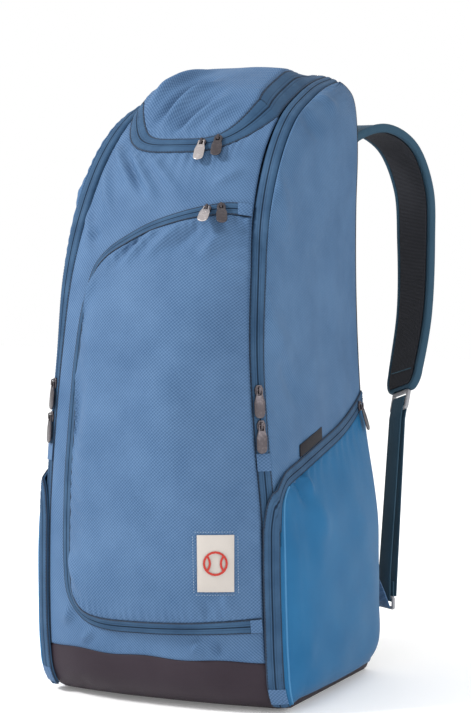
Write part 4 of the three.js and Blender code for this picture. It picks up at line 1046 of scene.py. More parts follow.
@dataclass
class BodyCloth:
    """Front, lid and side panels of the body."""

    finishes: Finishes
    seam: float = 0.5
    base_front: float = 0.054
    base_wave: float = 0.0015
    base_lip: float = -0.012
    seam_low: float = 0.707
    seam_rise: float = 0.093
    seam_shape: float = 3.3
    lid_tape: float = 22.0
    lid_puff: float = 7.0
    lid_lift: float = 20.0
    lift_reach: tuple[float, float, float] = (0.735, 0.82, 0.90)
    lid_corner_lane: float = 2 / 3
    side_cells: int = 7
    rise_cells: int = 17
    lid_scale: int = 900
    lid_rows: int = 91
    turn_in: float = 4.0
    front_gathers: Sequence[tuple[str, Gathers]] = (
        ("t", Gathers(13, 1.5, 16, 11)),
        ("lr", Gathers(14, 0.4, 8, 21)),
        ("b", Gathers(11, 0.9, 9, 25)),
    )
    front_swell: Swell = Swell(0.9, 120, 5, 30)
    lid_gathers: Sequence[tuple[str, Gathers]] = (
        ("b", Gathers(9, 1.6, 10, 31)),
        ("lr", Gathers(12, 1.2, 12, 41)),
    )
    lid_swell: Swell = Swell(1.0, 90, 9, 25)
    front_folds: Sequence[Fold] = (
        Fold((-92, 0.735), (-40, 0.655), 7, 2.2),
        Fold((-74, 0.715), (-18, 0.640), 6, -1.8),
        Fold((-60, 0.712), (-2, 0.632), 6, 1.8),
        Fold((-34, 0.705), (28, 0.640), 6, 1.3),
        Fold((-96, 0.700), (-62, 0.610), 7, 1.8),
        Fold((-104, 0.640), (-86, 0.560), 6, 1.6),
        Fold((-100, 0.610), (-76, 0.585), 5, -1.2),
        Fold((88, 0.690), (56, 0.660), 6, 1.0),
        Fold((-112, 0.085), (-84, 0.135), 7, 1.8),
        Fold((-88, 0.062), (-60, 0.095), 5, 1.2),
        Fold((60, 0.060), (74, 0.092), 5, 1.4),
        Fold((92, 0.058), (84, 0.090), 5, -1.2),
    )
    lid_folds: Sequence[Fold] = (
        Fold((-62, 0.775), (-18, 0.900), 7, 3.0),
        Fold((-48, 0.757), (2, 0.860), 6, -2.2),
        Fold((-34, 0.747), (16, 0.840), 6, 2.6),
        Fold((-18, 0.742), (34, 0.820), 6, -1.8),
        Fold((-4, 0.740), (44, 0.800), 6, 2.0),
        Fold((-60, 0.820), (-34, 0.900), 9, 0.8),
        Fold((22, 0.745), (58, 0.790), 6, 1.4),
    )
    side_folds: Sequence[Fold] = (
        Fold((112, 0.900), (210, 0.800), 9, 1.8),
        Fold((112, 0.830), (200, 0.740), 9, -1.6),
        Fold((112, 0.700), (180, 0.600), 12, 1.6),
        Fold((130, 0.500), (200, 0.420), 16, 1.4),
        Fold((170, 0.430), (230, 0.360), 12, -1.4),
    )

    def base_top(self, lane: Array) -> Array:
        """Station at which the base ends."""
        front = self.base_front + self.base_wave * np.cos(3 * math.pi * np.minimum(lane, 1))
        return front + (self.base_lip - front) * np.clip((lane - 2) * self.side_cells / 2, 0, 1)

    def lid_seam(self, across: Array) -> Array:
        """Station of the seam between front and lid."""
        return self.seam_low + self.seam_rise * np.abs(across) ** self.seam_shape

    def lift(self, station: Array) -> Array:
        """Height of the lid's seam over the body, raised along both legs."""
        start, full, fade = self.lift_reach
        risen = self.lid_lift * smooth_step(station, start, full)
        return risen * (1 - smooth_step(station, fade, 1))

    def _front(self) -> bpy.types.Object:
        """Front cloth from the base to the lid's zip."""
        lanes = np.linspace(-1, 1, 131)
        shares = np.linspace(0, 1, 191)[:, None]
        low, high = self.base_top(np.abs(lanes))[None], self.lid_seam(lanes)[None]
        station = low + (high - low) * shares
        girth = lanes[None] * (BODY.section(station)["half"] - self.seam / 2)
        grid = ClothGrid(girth, station, np.zeros_like(girth))
        shown = smooth_step(POCKET_OUTLINE.distance(grid.girth, grid.station), 8, 22)
        folded = ClothGrid(girth, station, np.zeros_like(girth))
        folded.fold(self.front_folds, 6.0, 4.0)
        folded.gather(self.front_gathers)
        folded.swell(self.front_swell)
        grid.height = folded.height * shown
        grid.roll_edges("lrbt", 0.9, 1.4)
        piece = MeshMaker.cloth("front_cloth", grid, self.turn_in)
        return dress(piece, self.finishes.ribbed, ["front_panel"])

    def seam_line(self, leg: int = 40, round_cells: int = 120) -> Array:
        """Seam round the lid, from the left's top to the right's, as (girth, station) rows."""
        stations = np.linspace(self.lid_seam(np.array(1.0)), BODY.top, leg + 1)[1:]
        half = BODY.section(stations)["half"] - self.seam / 2
        lanes = np.linspace(-1, 1, round_cells + 1)
        middle = self.lid_seam(lanes)
        across = lanes * (BODY.section(middle)["half"] - self.seam / 2)
        middle = middle + self.seam / 2 / BODY.per_station(across, middle)
        left = np.stack([-half, stations], axis=1)[::-1]
        right = np.stack([half, stations], axis=1)
        return np.concatenate([left, np.stack([across, middle], axis=1), right])

    def _lid(self) -> bpy.types.Object:
        """Puffed flap over the top."""
        leg, cells = 40, 120
        edge = BODY.moved(self.seam_line(leg, cells), self.lid_tape + self.seam)
        corner = leg + round((1 - self.lid_corner_lane) / 2 * cells)
        left, right = edge[: corner + 1][::-1], edge[len(edge) - 1 - corner :]
        bottom = edge[corner : len(edge) - corner]
        top = np.linspace(left[-1], right[-1], len(bottom))
        scale = (1, self.lid_scale)
        left, right = (even_line(line * scale, self.lid_rows) / scale for line in (left, right))
        places = coons_fill(bottom, top, left, right)
        p = np.linspace(0, 1, places.shape[1])[None]
        q = np.linspace(0, 1, places.shape[0])[:, None]
        puff = self.lid_puff * (4 * p * (1 - p)) ** 0.3 * (1 - (1 - q) ** 5) * (1 - q**5)
        grid = ClothGrid(places[..., 0], places[..., 1], puff + self.lift(places[..., 1]))
        grid.fold(self.lid_folds, 4.0, 4.2)
        grid.gather(self.lid_gathers)
        grid.swell(self.lid_swell)
        grid.roll_edges("lrbt", 1.5, 1.6)
        piece = MeshMaker.cloth("lid_cloth", grid, self.turn_in)
        return dress(piece, self.finishes.ribbed, ["top_lid"])

    def _side(self, side: str, left: bool) -> bpy.types.Object:
        """Side cloth, full height."""
        lanes = np.linspace(2, 3, 101)[None]
        first = float(self.base_top(np.array(1.0)))
        seam_top = float(self.lid_seam(np.array(1.0)))
        rise = np.linspace(first, BODY.top, 201)[:, None]
        cell = first + (seam_top - first) / self.rise_cells
        low = self.base_top(lanes)
        station = np.where(rise < cell, low + (cell - low) * (rise - first) / (cell - first), rise)
        girth = BODY.girth(lanes + 0 * station, station) + self.seam / 2 * (lanes == 2)
        grid = ClothGrid(girth, station, np.zeros_like(girth))
        seed = 50 if left else 60
        above = smooth_step(SIDE_OUTLINE.distance(grid.girth, grid.station), 10, 24)
        grid.fold(self.side_folds, 10.0, 3.1)
        grid.pucker("l", Gathers(16, 1.2, 18, seed))
        grid.swell(Swell(1.6, 110, seed, 40, "lrb"))
        grid.height = grid.height * above
        grid.roll_edges("lbr", 1.5, 1.6)
        piece = MeshMaker.cloth(f"side_cloth_{side}", grid, self.turn_in, left=left)
        return dress(piece, self.finishes.side, [f"side_panel_{side}"])

    def build(self) -> None:
        """Makes every panel."""
        self._front()
        self._lid()
        for side, left in SIDES:
            self._side(side, left)


@dataclass
class Outline:
    """Closed outline on the body that tells how far outside it a place is."""

    line: Array

    def distance(self, girth: Array, station: Array) -> Array:
        """Distance outside the outline in millimetres, 0 inside.

        Args:
            girth: Girth of each place.
            station: Station of each place.

        Returns:
            The distances.
        """
        x, y = girth.ravel(), BODY.length(station).ravel()
        ends = np.stack([self.line[:, 0], BODY.length(self.line[:, 1])], axis=1)
        nearest = np.full(x.shape, np.inf)
        inside = np.zeros(x.shape, bool)
        for (x0, y0), (x1, y1) in zip(ends, np.roll(ends, -1, axis=0)):
            run, rise = x1 - x0, y1 - y0
            share = np.clip(((x - x0) * run + (y - y0) * rise) / (run**2 + rise**2 + 1e-9), 0, 1)
            nearest = np.minimum(nearest, np.hypot(x - x0 - share * run, y - y0 - share * rise))
            crosses = (y0 > y) != (y1 > y)
            reach = x0 + (y - y0) / (rise if abs(rise) > 1e-9 else 1e-9) * run
            inside ^= crosses & (x < reach)
        nearest[inside] = 0
        return nearest.reshape(girth.shape)


@dataclass
class FrontPocket:
    """The large raised pocket on the front."""

    tape: float = 15.5
    seam: float = 0.5
    lift: float = 10.0
    dome: float = 16.0
    shoulder: float = 0.8
    shoulder_reach: tuple[float, float] = (-0.82, -0.42)
    lift_across: tuple[float, float] = (0.35, 1)
    lift_rise: tuple[float, float] = (0.45, 0.62)
    lift_loss: float = 0.6
    dome_across: float = 0.6
    dome_rise: float = 0.5
    right_lane: float = 0.985
    turn_in: float = 3.0
    fine: int = 12
    skin: float = 2.0
    band: float = 1.5
    gap: float = 0.8
    top_cells: int = 11
    left_cells: int = 15
    left: float = -0.68
    bottom: float = 0.10
    top: float = 0.63
    knots: Sequence[tuple[float, float]] = (
        (0.985, 0.634), (0.78, 0.631), (0.56, 0.623), (0.27, 0.611), (-0.02, 0.597),
        (-0.26, 0.580), (-0.46, 0.563), (-0.59, 0.543), (-0.645, 0.515), (-0.69, 0.480),
        (-0.72, 0.420), (-0.735, 0.340), (-0.745, 0.250), (-0.735, 0.170), (-0.69, 0.128),
        (-0.56, 0.106), (-0.38, 0.097), (0.00, 0.096), (0.45, 0.099), (0.985, 0.104),
    )
    gathers: Sequence[tuple[str, Gathers]] = (
        ("b", Gathers(9, 2.0, 11, 71)),
        ("t", Gathers(12, 1.4, 14, 81)),
        ("l", Gathers(16, 1.9, 17, 91)),
        ("r", Gathers(18, 1.7, 14, 95)),
    )
    swell: Swell = Swell(1.0, 130, 7, 40)
    folds: Sequence[Fold] = (
        Fold((20, 0.600), (-30, 0.540), 7, 2.2),
        Fold((2, 0.592), (-44, 0.535), 6, -1.8),
        Fold((44, 0.606), (0, 0.548), 7, 1.8),
        Fold((64, 0.606), (30, 0.556), 6, -1.3),
        Fold((84, 0.600), (64, 0.552), 7, 1.6),
        Fold((-58, 0.535), (-84, 0.470), 7, 1.6),
        Fold((-82, 0.420), (-92, 0.340), 8, 1.5),
        Fold((-70, 0.400), (-84, 0.300), 9, -1.2),
        Fold((-94, 0.180), (-72, 0.135), 7, 1.5),
        Fold((112, 0.115), (96, 0.150), 6, 1.2),
        Fold((86, 0.112), (76, 0.142), 5, -1.0),
        Fold((20, 0.420), (60, 0.300), 26, 2.0),
    )

    def line(self, count: int) -> Array:
        """Middle of the zip, from the top right round to the bottom right."""
        across, station = np.array(self.knots).T
        return smooth_places(across * BODY.section(station)["half"], station, count)

    def height(self, girth: Array, station: Array) -> Array:
        """Height of the pocket's skin over the front cloth."""
        across = girth / BODY.section(station)["half"]
        p = np.clip((across - self.left) / (1 - self.left), 0, 1)
        q = np.clip((station - self.bottom) / (self.top - self.bottom), 0, 1)
        lift = self.lift * (1 - smooth_step(across, *self.lift_across))
        lift = lift * (1 - self.lift_loss * smooth_step(station, *self.lift_rise))
        dome = self.dome * (4 * p * (1 - p)) ** self.dome_across
        dome = dome * (4 * q * (1 - q)) ** self.dome_rise
        shoulder = 1 - self.shoulder * (1 - smooth_step(across, *self.shoulder_reach))
        return self.gap + self.skin + lift * shoulder + dome

    def grid(self) -> ClothGrid:
        """Grid of the pocket's skin."""
        cells = 2 * self.top_cells + self.left_cells
        edge = BODY.moved(self.line(cells * self.fine + 1), self.tape / 2 + self.seam)
        first = self.top_cells * self.fine
        second = first + self.left_cells * self.fine
        top, left, bottom = edge[: first + 1][::-1], edge[first : second + 1][::-1], edge[second:]
        right = np.linspace(bottom[-1], top[-1], len(left))
        half = BODY.section(right[:, 1])["half"]
        right[1:-1, 0] = np.minimum(self.right_lane * half, half - 2)[1:-1]
        places = coons_fill(bottom, top, left, right)
        girth, station = places[..., 0], places[..., 1]
        return ClothGrid(girth, station, self.height(girth, station))

    def build(self, finishes: Finishes) -> None:
        """Makes the pocket's skin with its folds."""
        grid = self.grid()
        grid.fold(self.folds, 5.0, 3.8)
        grid.gather(self.gathers)
        grid.swell(self.swell)
        grid.roll_edges("lrbt", 1.2, 1.6)
        piece = MeshMaker.cloth("front_pocket_cloth", grid, self.turn_in)
        dress(piece, finishes.diamond, ["front_pocket"])


@dataclass
class SidePocket:
    """The two bulging bottle pockets and their line."""

    tape: float = 16.5
    seam: float = 0.5
    dome: float = 20.0
    skin: float = 2.0
    band: float = 1.5
    gap: float = 0.8
    hard_gap: float = 0.3
    crease_lift: float = 4.4
    crease_reach: float = 28.0
    piping: float = 1.3
    turn_in: float = 3.0
    past_back: float = 50.0
    square: tuple[float, float, float, float] = (6, 7, 9, 2.4)
    fine: int = 9
    front_cells: int = 12
    top_cells: int = 11
    knots: Sequence[tuple[float, float]] = (
        (1.52, -0.014), (1.52, 0.10), (1.52, 0.19), (1.66, 0.228), (2.012, 0.256),
        (2.09, 0.2745), (2.23, 0.288), (2.43, 0.3045), (2.70, 0.3250), (2.93, 0.349),
        (3.00, 0.358),
    )
    gathers: Gathers = Gathers(22, 1.1, 16, 101)
    swell: Swell = Swell(1.2, 110, 15, 30)
    folds: Sequence[Fold] = (
        Fold((202, 0.284), (206, 0.236), 8, -4.2),
        Fold((214, 0.288), (222, 0.250), 7, 3.0),
        Fold((222, 0.250), (246, 0.196), 15, 2.4),
        Fold((196, 0.236), (206, 0.150), 16, -2.2),
        Fold((176, 0.030), (200, 0.085), 14, 1.6),
    )

    def line(self, count: int) -> Array:
        """Middle of the zip, from the floor up to the back seam."""
        lane, station = np.array(self.knots).T
        return smooth_places(BODY.girth(lane, station), station, count)

    def crease(self, girth: Array, station: Array) -> Array:
        """How far cloth that crosses the corner stands off it."""
        away = np.abs(girth - BODY.girth(np.full_like(girth, 2.0), station))
        return self.crease_lift * np.maximum(0, 1 - away / self.crease_reach)

    def before_back(self, places: Array) -> Array:
        """Keeps places in front of the back seam."""
        limit = BODY.girth(np.full(places.shape[:-1], 3.0), places[..., 1]) - self.hard_gap
        return np.stack([np.minimum(places[..., 0], limit), places[..., 1]], -1)

    def grid(self) -> ClothGrid:
        """Grid of the pocket's skin."""
        line = self.line((self.front_cells + self.top_cells) * self.fine + 1)
        edge = self.before_back(BODY.moved(line, -(self.tape / 2 + self.seam)))
        turn = self.front_cells * self.fine
        left, top = edge[: turn + 1], edge[turn:]
        low = left[0, 1]
        heel = np.array([float(BODY.girth(np.array(3.0), np.array(low))) - self.hard_gap, low])
        bottom = np.linspace(left[0], heel, len(top))
        past = (self.past_back, 0)
        right = self.before_back(np.linspace(heel + past, top[-1] + past, len(left)))
        places = coons_fill(bottom, top, left, right)
        girth, station = places[..., 0], places[..., 1]
        p = np.linspace(0, 1, girth.shape[1])[None]
        q = np.linspace(0, 1, girth.shape[0])[:, None]
        front, back, floor, high = self.square
        full = (1 - np.abs(2 * p - 1) ** np.where(p < 0.5, front, back)) * (
            1 - np.abs(2 * q - 1) ** np.where(q < 0.5, floor, high)
        )
        height = self.gap + self.skin + self.crease(girth, station) + self.dome * full
        return ClothGrid(girth, station, height)

    def build(self, finishes: Finishes) -> None:
        """Makes both pockets and the piping on their front edges."""
        for side, left in SIDES:
            grid = self.grid()
            grid.fold(self.folds, 5.0, 1.6)
            grid.pucker("t", self.gathers)
            grid.swell(self.swell)
            piece = MeshMaker.cloth(f"side_pocket_cloth_{side}", grid, self.turn_in, left=left)
            dress(piece, finishes.bright, [f"side_pocket_{side}"])
            rings = round_rings(even_line(grid.points()[:, 1], 160), self.piping)
            pipe = MeshMaker.sweep(f"side_pocket_piping_{side}", rings, left)
            dress(pipe, finishes.sky)


POCKET = FrontPocket()
SIDE_POCKET = SidePocket()
POCKET_OUTLINE = Outline(POCKET.line(120))
SIDE_OUTLINE = Outline(
    np.concatenate([SIDE_POCKET.line(100), [(900.0, 0.36), (900.0, -0.1), (120.0, -0.1)]])
)


@dataclass
class ZipTapes:
    """Bands of smooth cloth with a zip in their middle."""

    finishes: Finishes
    puff: float = 0.9
    edge_drop: float = 0.6
    slit: float = 1.1
    slit_width: float = 0.75
    lip: float = 0.35
    lip_place: float = 2.9
    lip_width: float = 0.6
    turn_in: float = 2.6
    corner_half: float = 8.5
    corner_drop: float = 0.5
    stitch_row: int = 2
    # Radius of the dark cords that paint the shadow in the band's seams.
    seam_shadow_cord: float = 0.75
    shares: Sequence[float] = (
        -1, -0.97, -0.9, -0.8, -0.66, -0.5, -0.4, -0.34, -0.28, -0.2, -0.13, -0.09, -0.05,
        0, 0.05, 0.09, 0.13, 0.2, 0.28, 0.34, 0.4, 0.5, 0.66, 0.8, 0.9, 0.97, 1,
    )

    def profile(self, across: Array, half: float) -> Array:
        """Relief of the band at a distance from its middle."""
        share = np.abs(across) / half
        body = self.puff * (1 - share**5) - self.edge_drop * share**8
        slit = self.slit * np.exp(-((across / self.slit_width) ** 2))
        lips = self.lip * np.exp(-(((np.abs(across) - self.lip_place) / self.lip_width) ** 2))
        return body - slit - lips

    def band(
        self,
        name: str,
        line: Array,
        offsets: Array,
        heights: Callable[[Array, Array, Array], Array],
        limit: Callable[[Array], Array] | None = None,
        left: bool = False,
        node: str = "",
    ) -> bpy.types.Object:
        """Makes one band along a line.

        Args:
            name: Name of the piece.
            line: Line as (girth, station) rows.
            offsets: Sideways distances of the band's rows, in millimetres.
            heights: Gives the height of each place from its girth, station and offset.
            limit: Keeps places inside the body's edges.
            left: Whether the piece is made on the left side instead.
            node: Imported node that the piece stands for.

        Returns:
            The new object.
        """
        places = np.stack([BODY.moved(line, offset) for offset in offsets])
        if limit is not None:
            places = limit(places)
        girth, station = places[..., 0], places[..., 1]
        middle = (offsets[0] + offsets[-1]) / 2
        across = np.broadcast_to((offsets - middle)[:, None], girth.shape)
        grid = ClothGrid(girth, station, heights(girth, station, across))
        grid.height = grid.height + self.profile(across, abs(offsets[-1] - offsets[0]) / 2)
        along = np.broadcast_to(
            running_length(BODY.place(*line.T, np.zeros(len(line))))[None], girth.shape
        )
        piece = MeshMaker.cloth(name, grid, self.turn_in, (along, across), left)
        self._sew(name, grid, left)
        return dress(piece, self.finishes.tape, [node])

    def _sew(self, name: str, grid: ClothGrid, left: bool) -> None:
        """Adds dark stitches near both edges of a band, their thread also painting pucker shade,
        and a dark cord in both seams as painted seam shadow.
        """
        points = grid.points()
        normals = BODY.normal(grid.girth, grid.station)
        # Real stitches, in a dark thread that also paints the shade of the puckers along the seams.
        for number, row in enumerate((self.stitch_row, len(points) - 1 - self.stitch_row)):
            Stitches().run(
                f"{name}_stitches_{number}", points[row], normals[row], self.finishes.thread,
                "teal_tape", left,
            )
        # Painted seam shadow: a dark cord laid in each seam where there is only shade.
        for number, row in enumerate((0, len(points) - 1)):
            rings = round_rings(points[row], self.seam_shadow_cord, 8, normals[row])
            cord = MeshMaker.sweep(f"{name}_seam_{number}", rings, left)
            dress(cord, self.finishes.thread)

    def build(self, cloth: BodyCloth) -> None:
        """Makes the six bands."""
        shares = np.array(self.shares)
        lid_line = cloth.seam_line(60, 160)
        half = cloth.lid_tape / 2
        self.band(
            "lid_band", lid_line, half + shares * half,
            lambda g, s, a: cloth.lift(s) * (a / cloth.lid_tape + 0.5), node="lid_zip",
        )
        line = POCKET.line(380)
        self.band(
            "pocket_band", line, shares * POCKET.tape / 2,
            self._pocket_height, node="front_pocket_zip",
        )
        side_line = SIDE_POCKET.line(260)
        for side, left in SIDES:
            self.band(
                f"side_pocket_band_{side}", side_line, shares * SIDE_POCKET.tape / 2,
                lambda g, s, a: SIDE_POCKET.gap + SIDE_POCKET.band + SIDE_POCKET.crease(g, s),
                SIDE_POCKET.before_back, left, f"side_pocket_zip_{side}",
            )
            self._corner(cloth, side, left)

    def _pocket_height(self, girth: Array, station: Array, across: Array) -> Array:
        """Height of the pocket's band, from the panel up to the pocket's skin."""
        low = POCKET.gap + POCKET.band
        share = across / POCKET.tape + 0.5
        return low + (POCKET.height(girth, station) - low) * share

    def _corner(self, cloth: BodyCloth, side: str, left: bool) -> None:
        """Long band up one front corner and over the top."""
        station = np.linspace(float(cloth.base_top(np.array(1.0))), BODY.top, 420)[None]
        share = np.array(self.shares)[:, None] / 2 + 0.5
        station = np.broadcast_to(station, (len(share), station.shape[1]))
        girth = BODY.girth(1 + share + 0 * station, station) + cloth.seam * (0.5 - share)
        across = (share - 0.5) * BODY.section(station)["tape"]
        grid = ClothGrid(girth.T, station.T, 0 * girth.T)
        drop = self.corner_drop * np.abs(2 * share.T - 1) ** 8
        grid.height = self.profile(across.T, self.corner_half) - drop
        along = BODY.length(station).T
        piece = MeshMaker.cloth(f"main_band_{side}", grid, self.turn_in, (along, across.T), left)
        turned = ClothGrid(grid.girth.T, grid.station.T, grid.height.T)
        self._sew(f"main_band_{side}", turned, left)
        dress(piece, self.finishes.tape, [f"main_zip_{side}"])


@dataclass
class Base:
    """The dark tray that the bag stands on."""

    cloth: BodyCloth
    finishes: Finishes
    thickness: float = 2.5
    lane_steps: Sequence[int] = (60, 9, 60, 30)
    shares: Sequence[float] = (
        0, 0.05, 0.1, 0.16, 0.24, 0.34, 0.45, 0.56, 0.68, 0.8, 0.9, 0.96, 1,
    )
    dent: Fold = Fold((-112, -0.020), (-84, 0.002), 7, -3.0)
    wave: float = 0.7
    wave_size: float = 70.0
    wave_seed: int = 33
    roll: float = 1.4

    def build(self) -> bpy.types.Object:
        """Makes the tray with its flat floor."""
        parts = [np.linspace(lane, lane + 1, steps) for lane, steps in enumerate(self.lane_steps)]
        half = np.concatenate([part[:-1] for part in parts[:-1]] + parts[-1:])
        lanes = np.concatenate([half, -half[1:-1][::-1]])[None]
        shares = np.array(self.shares)[:, None]
        top = self.cloth.base_top(np.abs(lanes))
        station = BODY.floor + (top - BODY.floor) * shares
        girth = np.sign(lanes) * BODY.girth(np.abs(lanes) + 0 * station, station)
        length = BODY.length(station)
        wave = self.wave * soft_noise(girth, length, self.wave_size, self.wave_seed)
        relief = wave * smooth_step(shares, 0.1, 0.4) + self.dent.relief(girth, length)
        roll = self.roll * smooth_step(shares, 0.93, 1)
        outer = BODY.place(girth, station, relief * (1 - smooth_step(shares, 0.85, 1)) - roll)
        outer[0, :, 2] = 0
        outer[..., 2] = np.maximum(outer[..., 2], 0)
        inner = outer[-1:] - BODY.normal(girth[-1:], station[-1:]) * self.thickness
        points = np.concatenate([outer, inner])
        rows, columns = points.shape[:2]
        faces = MeshMaker.quads(rows, columns, closed=True).tolist()
        for rung in range(columns // 2):
            ring = [(columns - rung) % columns, columns - rung - 1, rung + 1, rung]
            faces.append(list(dict.fromkeys(ring)))
        uv = np.stack([girth, length], -1)
        uv = np.concatenate([uv, uv[-1:]]).reshape(-1, 2) * METRE
        piece = MeshMaker.mesh("base_cloth", points.reshape(-1, 3), faces, uv)
        return dress(piece, self.finishes.base, ["base"])


@dataclass
class BackPad:
    """Padded back that lies against the wearer."""

    finishes: Finishes
    pad: float = 9.0
    inset: float = 1.0
    rise: float = 9.0
    seam: float = 0.5
    low: float = -0.005
    arch_start: float = 0.62
    arch_shape: float = 2.2
    rim: float = 0.12
    rim_depth: float = 0.35
    channel: float = 0.30
    channel_width: float = 0.035
    channel_depth: float = 3.2
    channel_fade: tuple[float, float] = (0.04, 0.16)
    bars: int = 5
    bar_width: float = 0.05

    def build(self) -> bpy.types.Object:
        """Makes the domed pad with two upright channels."""
        station = np.linspace(self.low, 1, 120)[:, None]
        across = np.linspace(-1, 1, 81)[None]
        back = BODY.section(station + 0 * across)["back"]
        away = np.abs(across)
        lift = self.rise * smooth_step(station, self.arch_start, 1) * (1 - away**self.arch_shape)
        edge = np.minimum(1 - away, np.minimum(station - self.low, 1 - station) * 3)
        rim = np.sqrt(np.clip(edge / self.rim, 0, 1))
        depth = self.pad * (self.rim_depth + (1 - self.rim_depth) * rim)
        channel = np.exp(-(((away - self.channel) / self.channel_width) ** 2))
        bars = np.exp(-((((station * self.bars) % 1 - 0.5) / self.bar_width) ** 2))
        lines = np.maximum(channel, bars * (away > self.channel))
        depth = depth - self.channel_depth * lines * smooth_step(edge, *self.channel_fade)
        rear = np.stack(
            [
                across * (back[..., 0] - self.inset),
                BODY.back_plane + self.seam + depth,
                back[..., 2] + lift,
            ],
            -1,
        )
        flat = rear.copy()
        flat[..., 1] = BODY.back_plane + self.seam
        rows, columns = rear.shape[:2]
        count = rows * columns
        ring = np.concatenate(
            [
                np.arange(columns),
                np.arange(1, rows) * columns + columns - 1,
                (rows - 1) * columns + np.arange(columns - 2, -1, -1),
                np.arange(rows - 2, 0, -1) * columns,
            ]
        )
        behind = count + np.arange(len(ring))
        nexts = np.roll(np.arange(len(ring)), -1)
        rim = np.stack([ring, ring[nexts], behind[nexts], behind], axis=1)
        faces = np.concatenate([MeshMaker.quads(rows, columns)[:, ::-1], rim])
        points = np.concatenate([rear.reshape(-1, 3), flat.reshape(-1, 3)[ring]])
        uv = points[:, [0, 2]] * METRE
        piece = MeshMaker.mesh("back_pad", points, faces.tolist(), uv)
        dress(piece, self.finishes.mesh, ["back_panel"])
        return piece


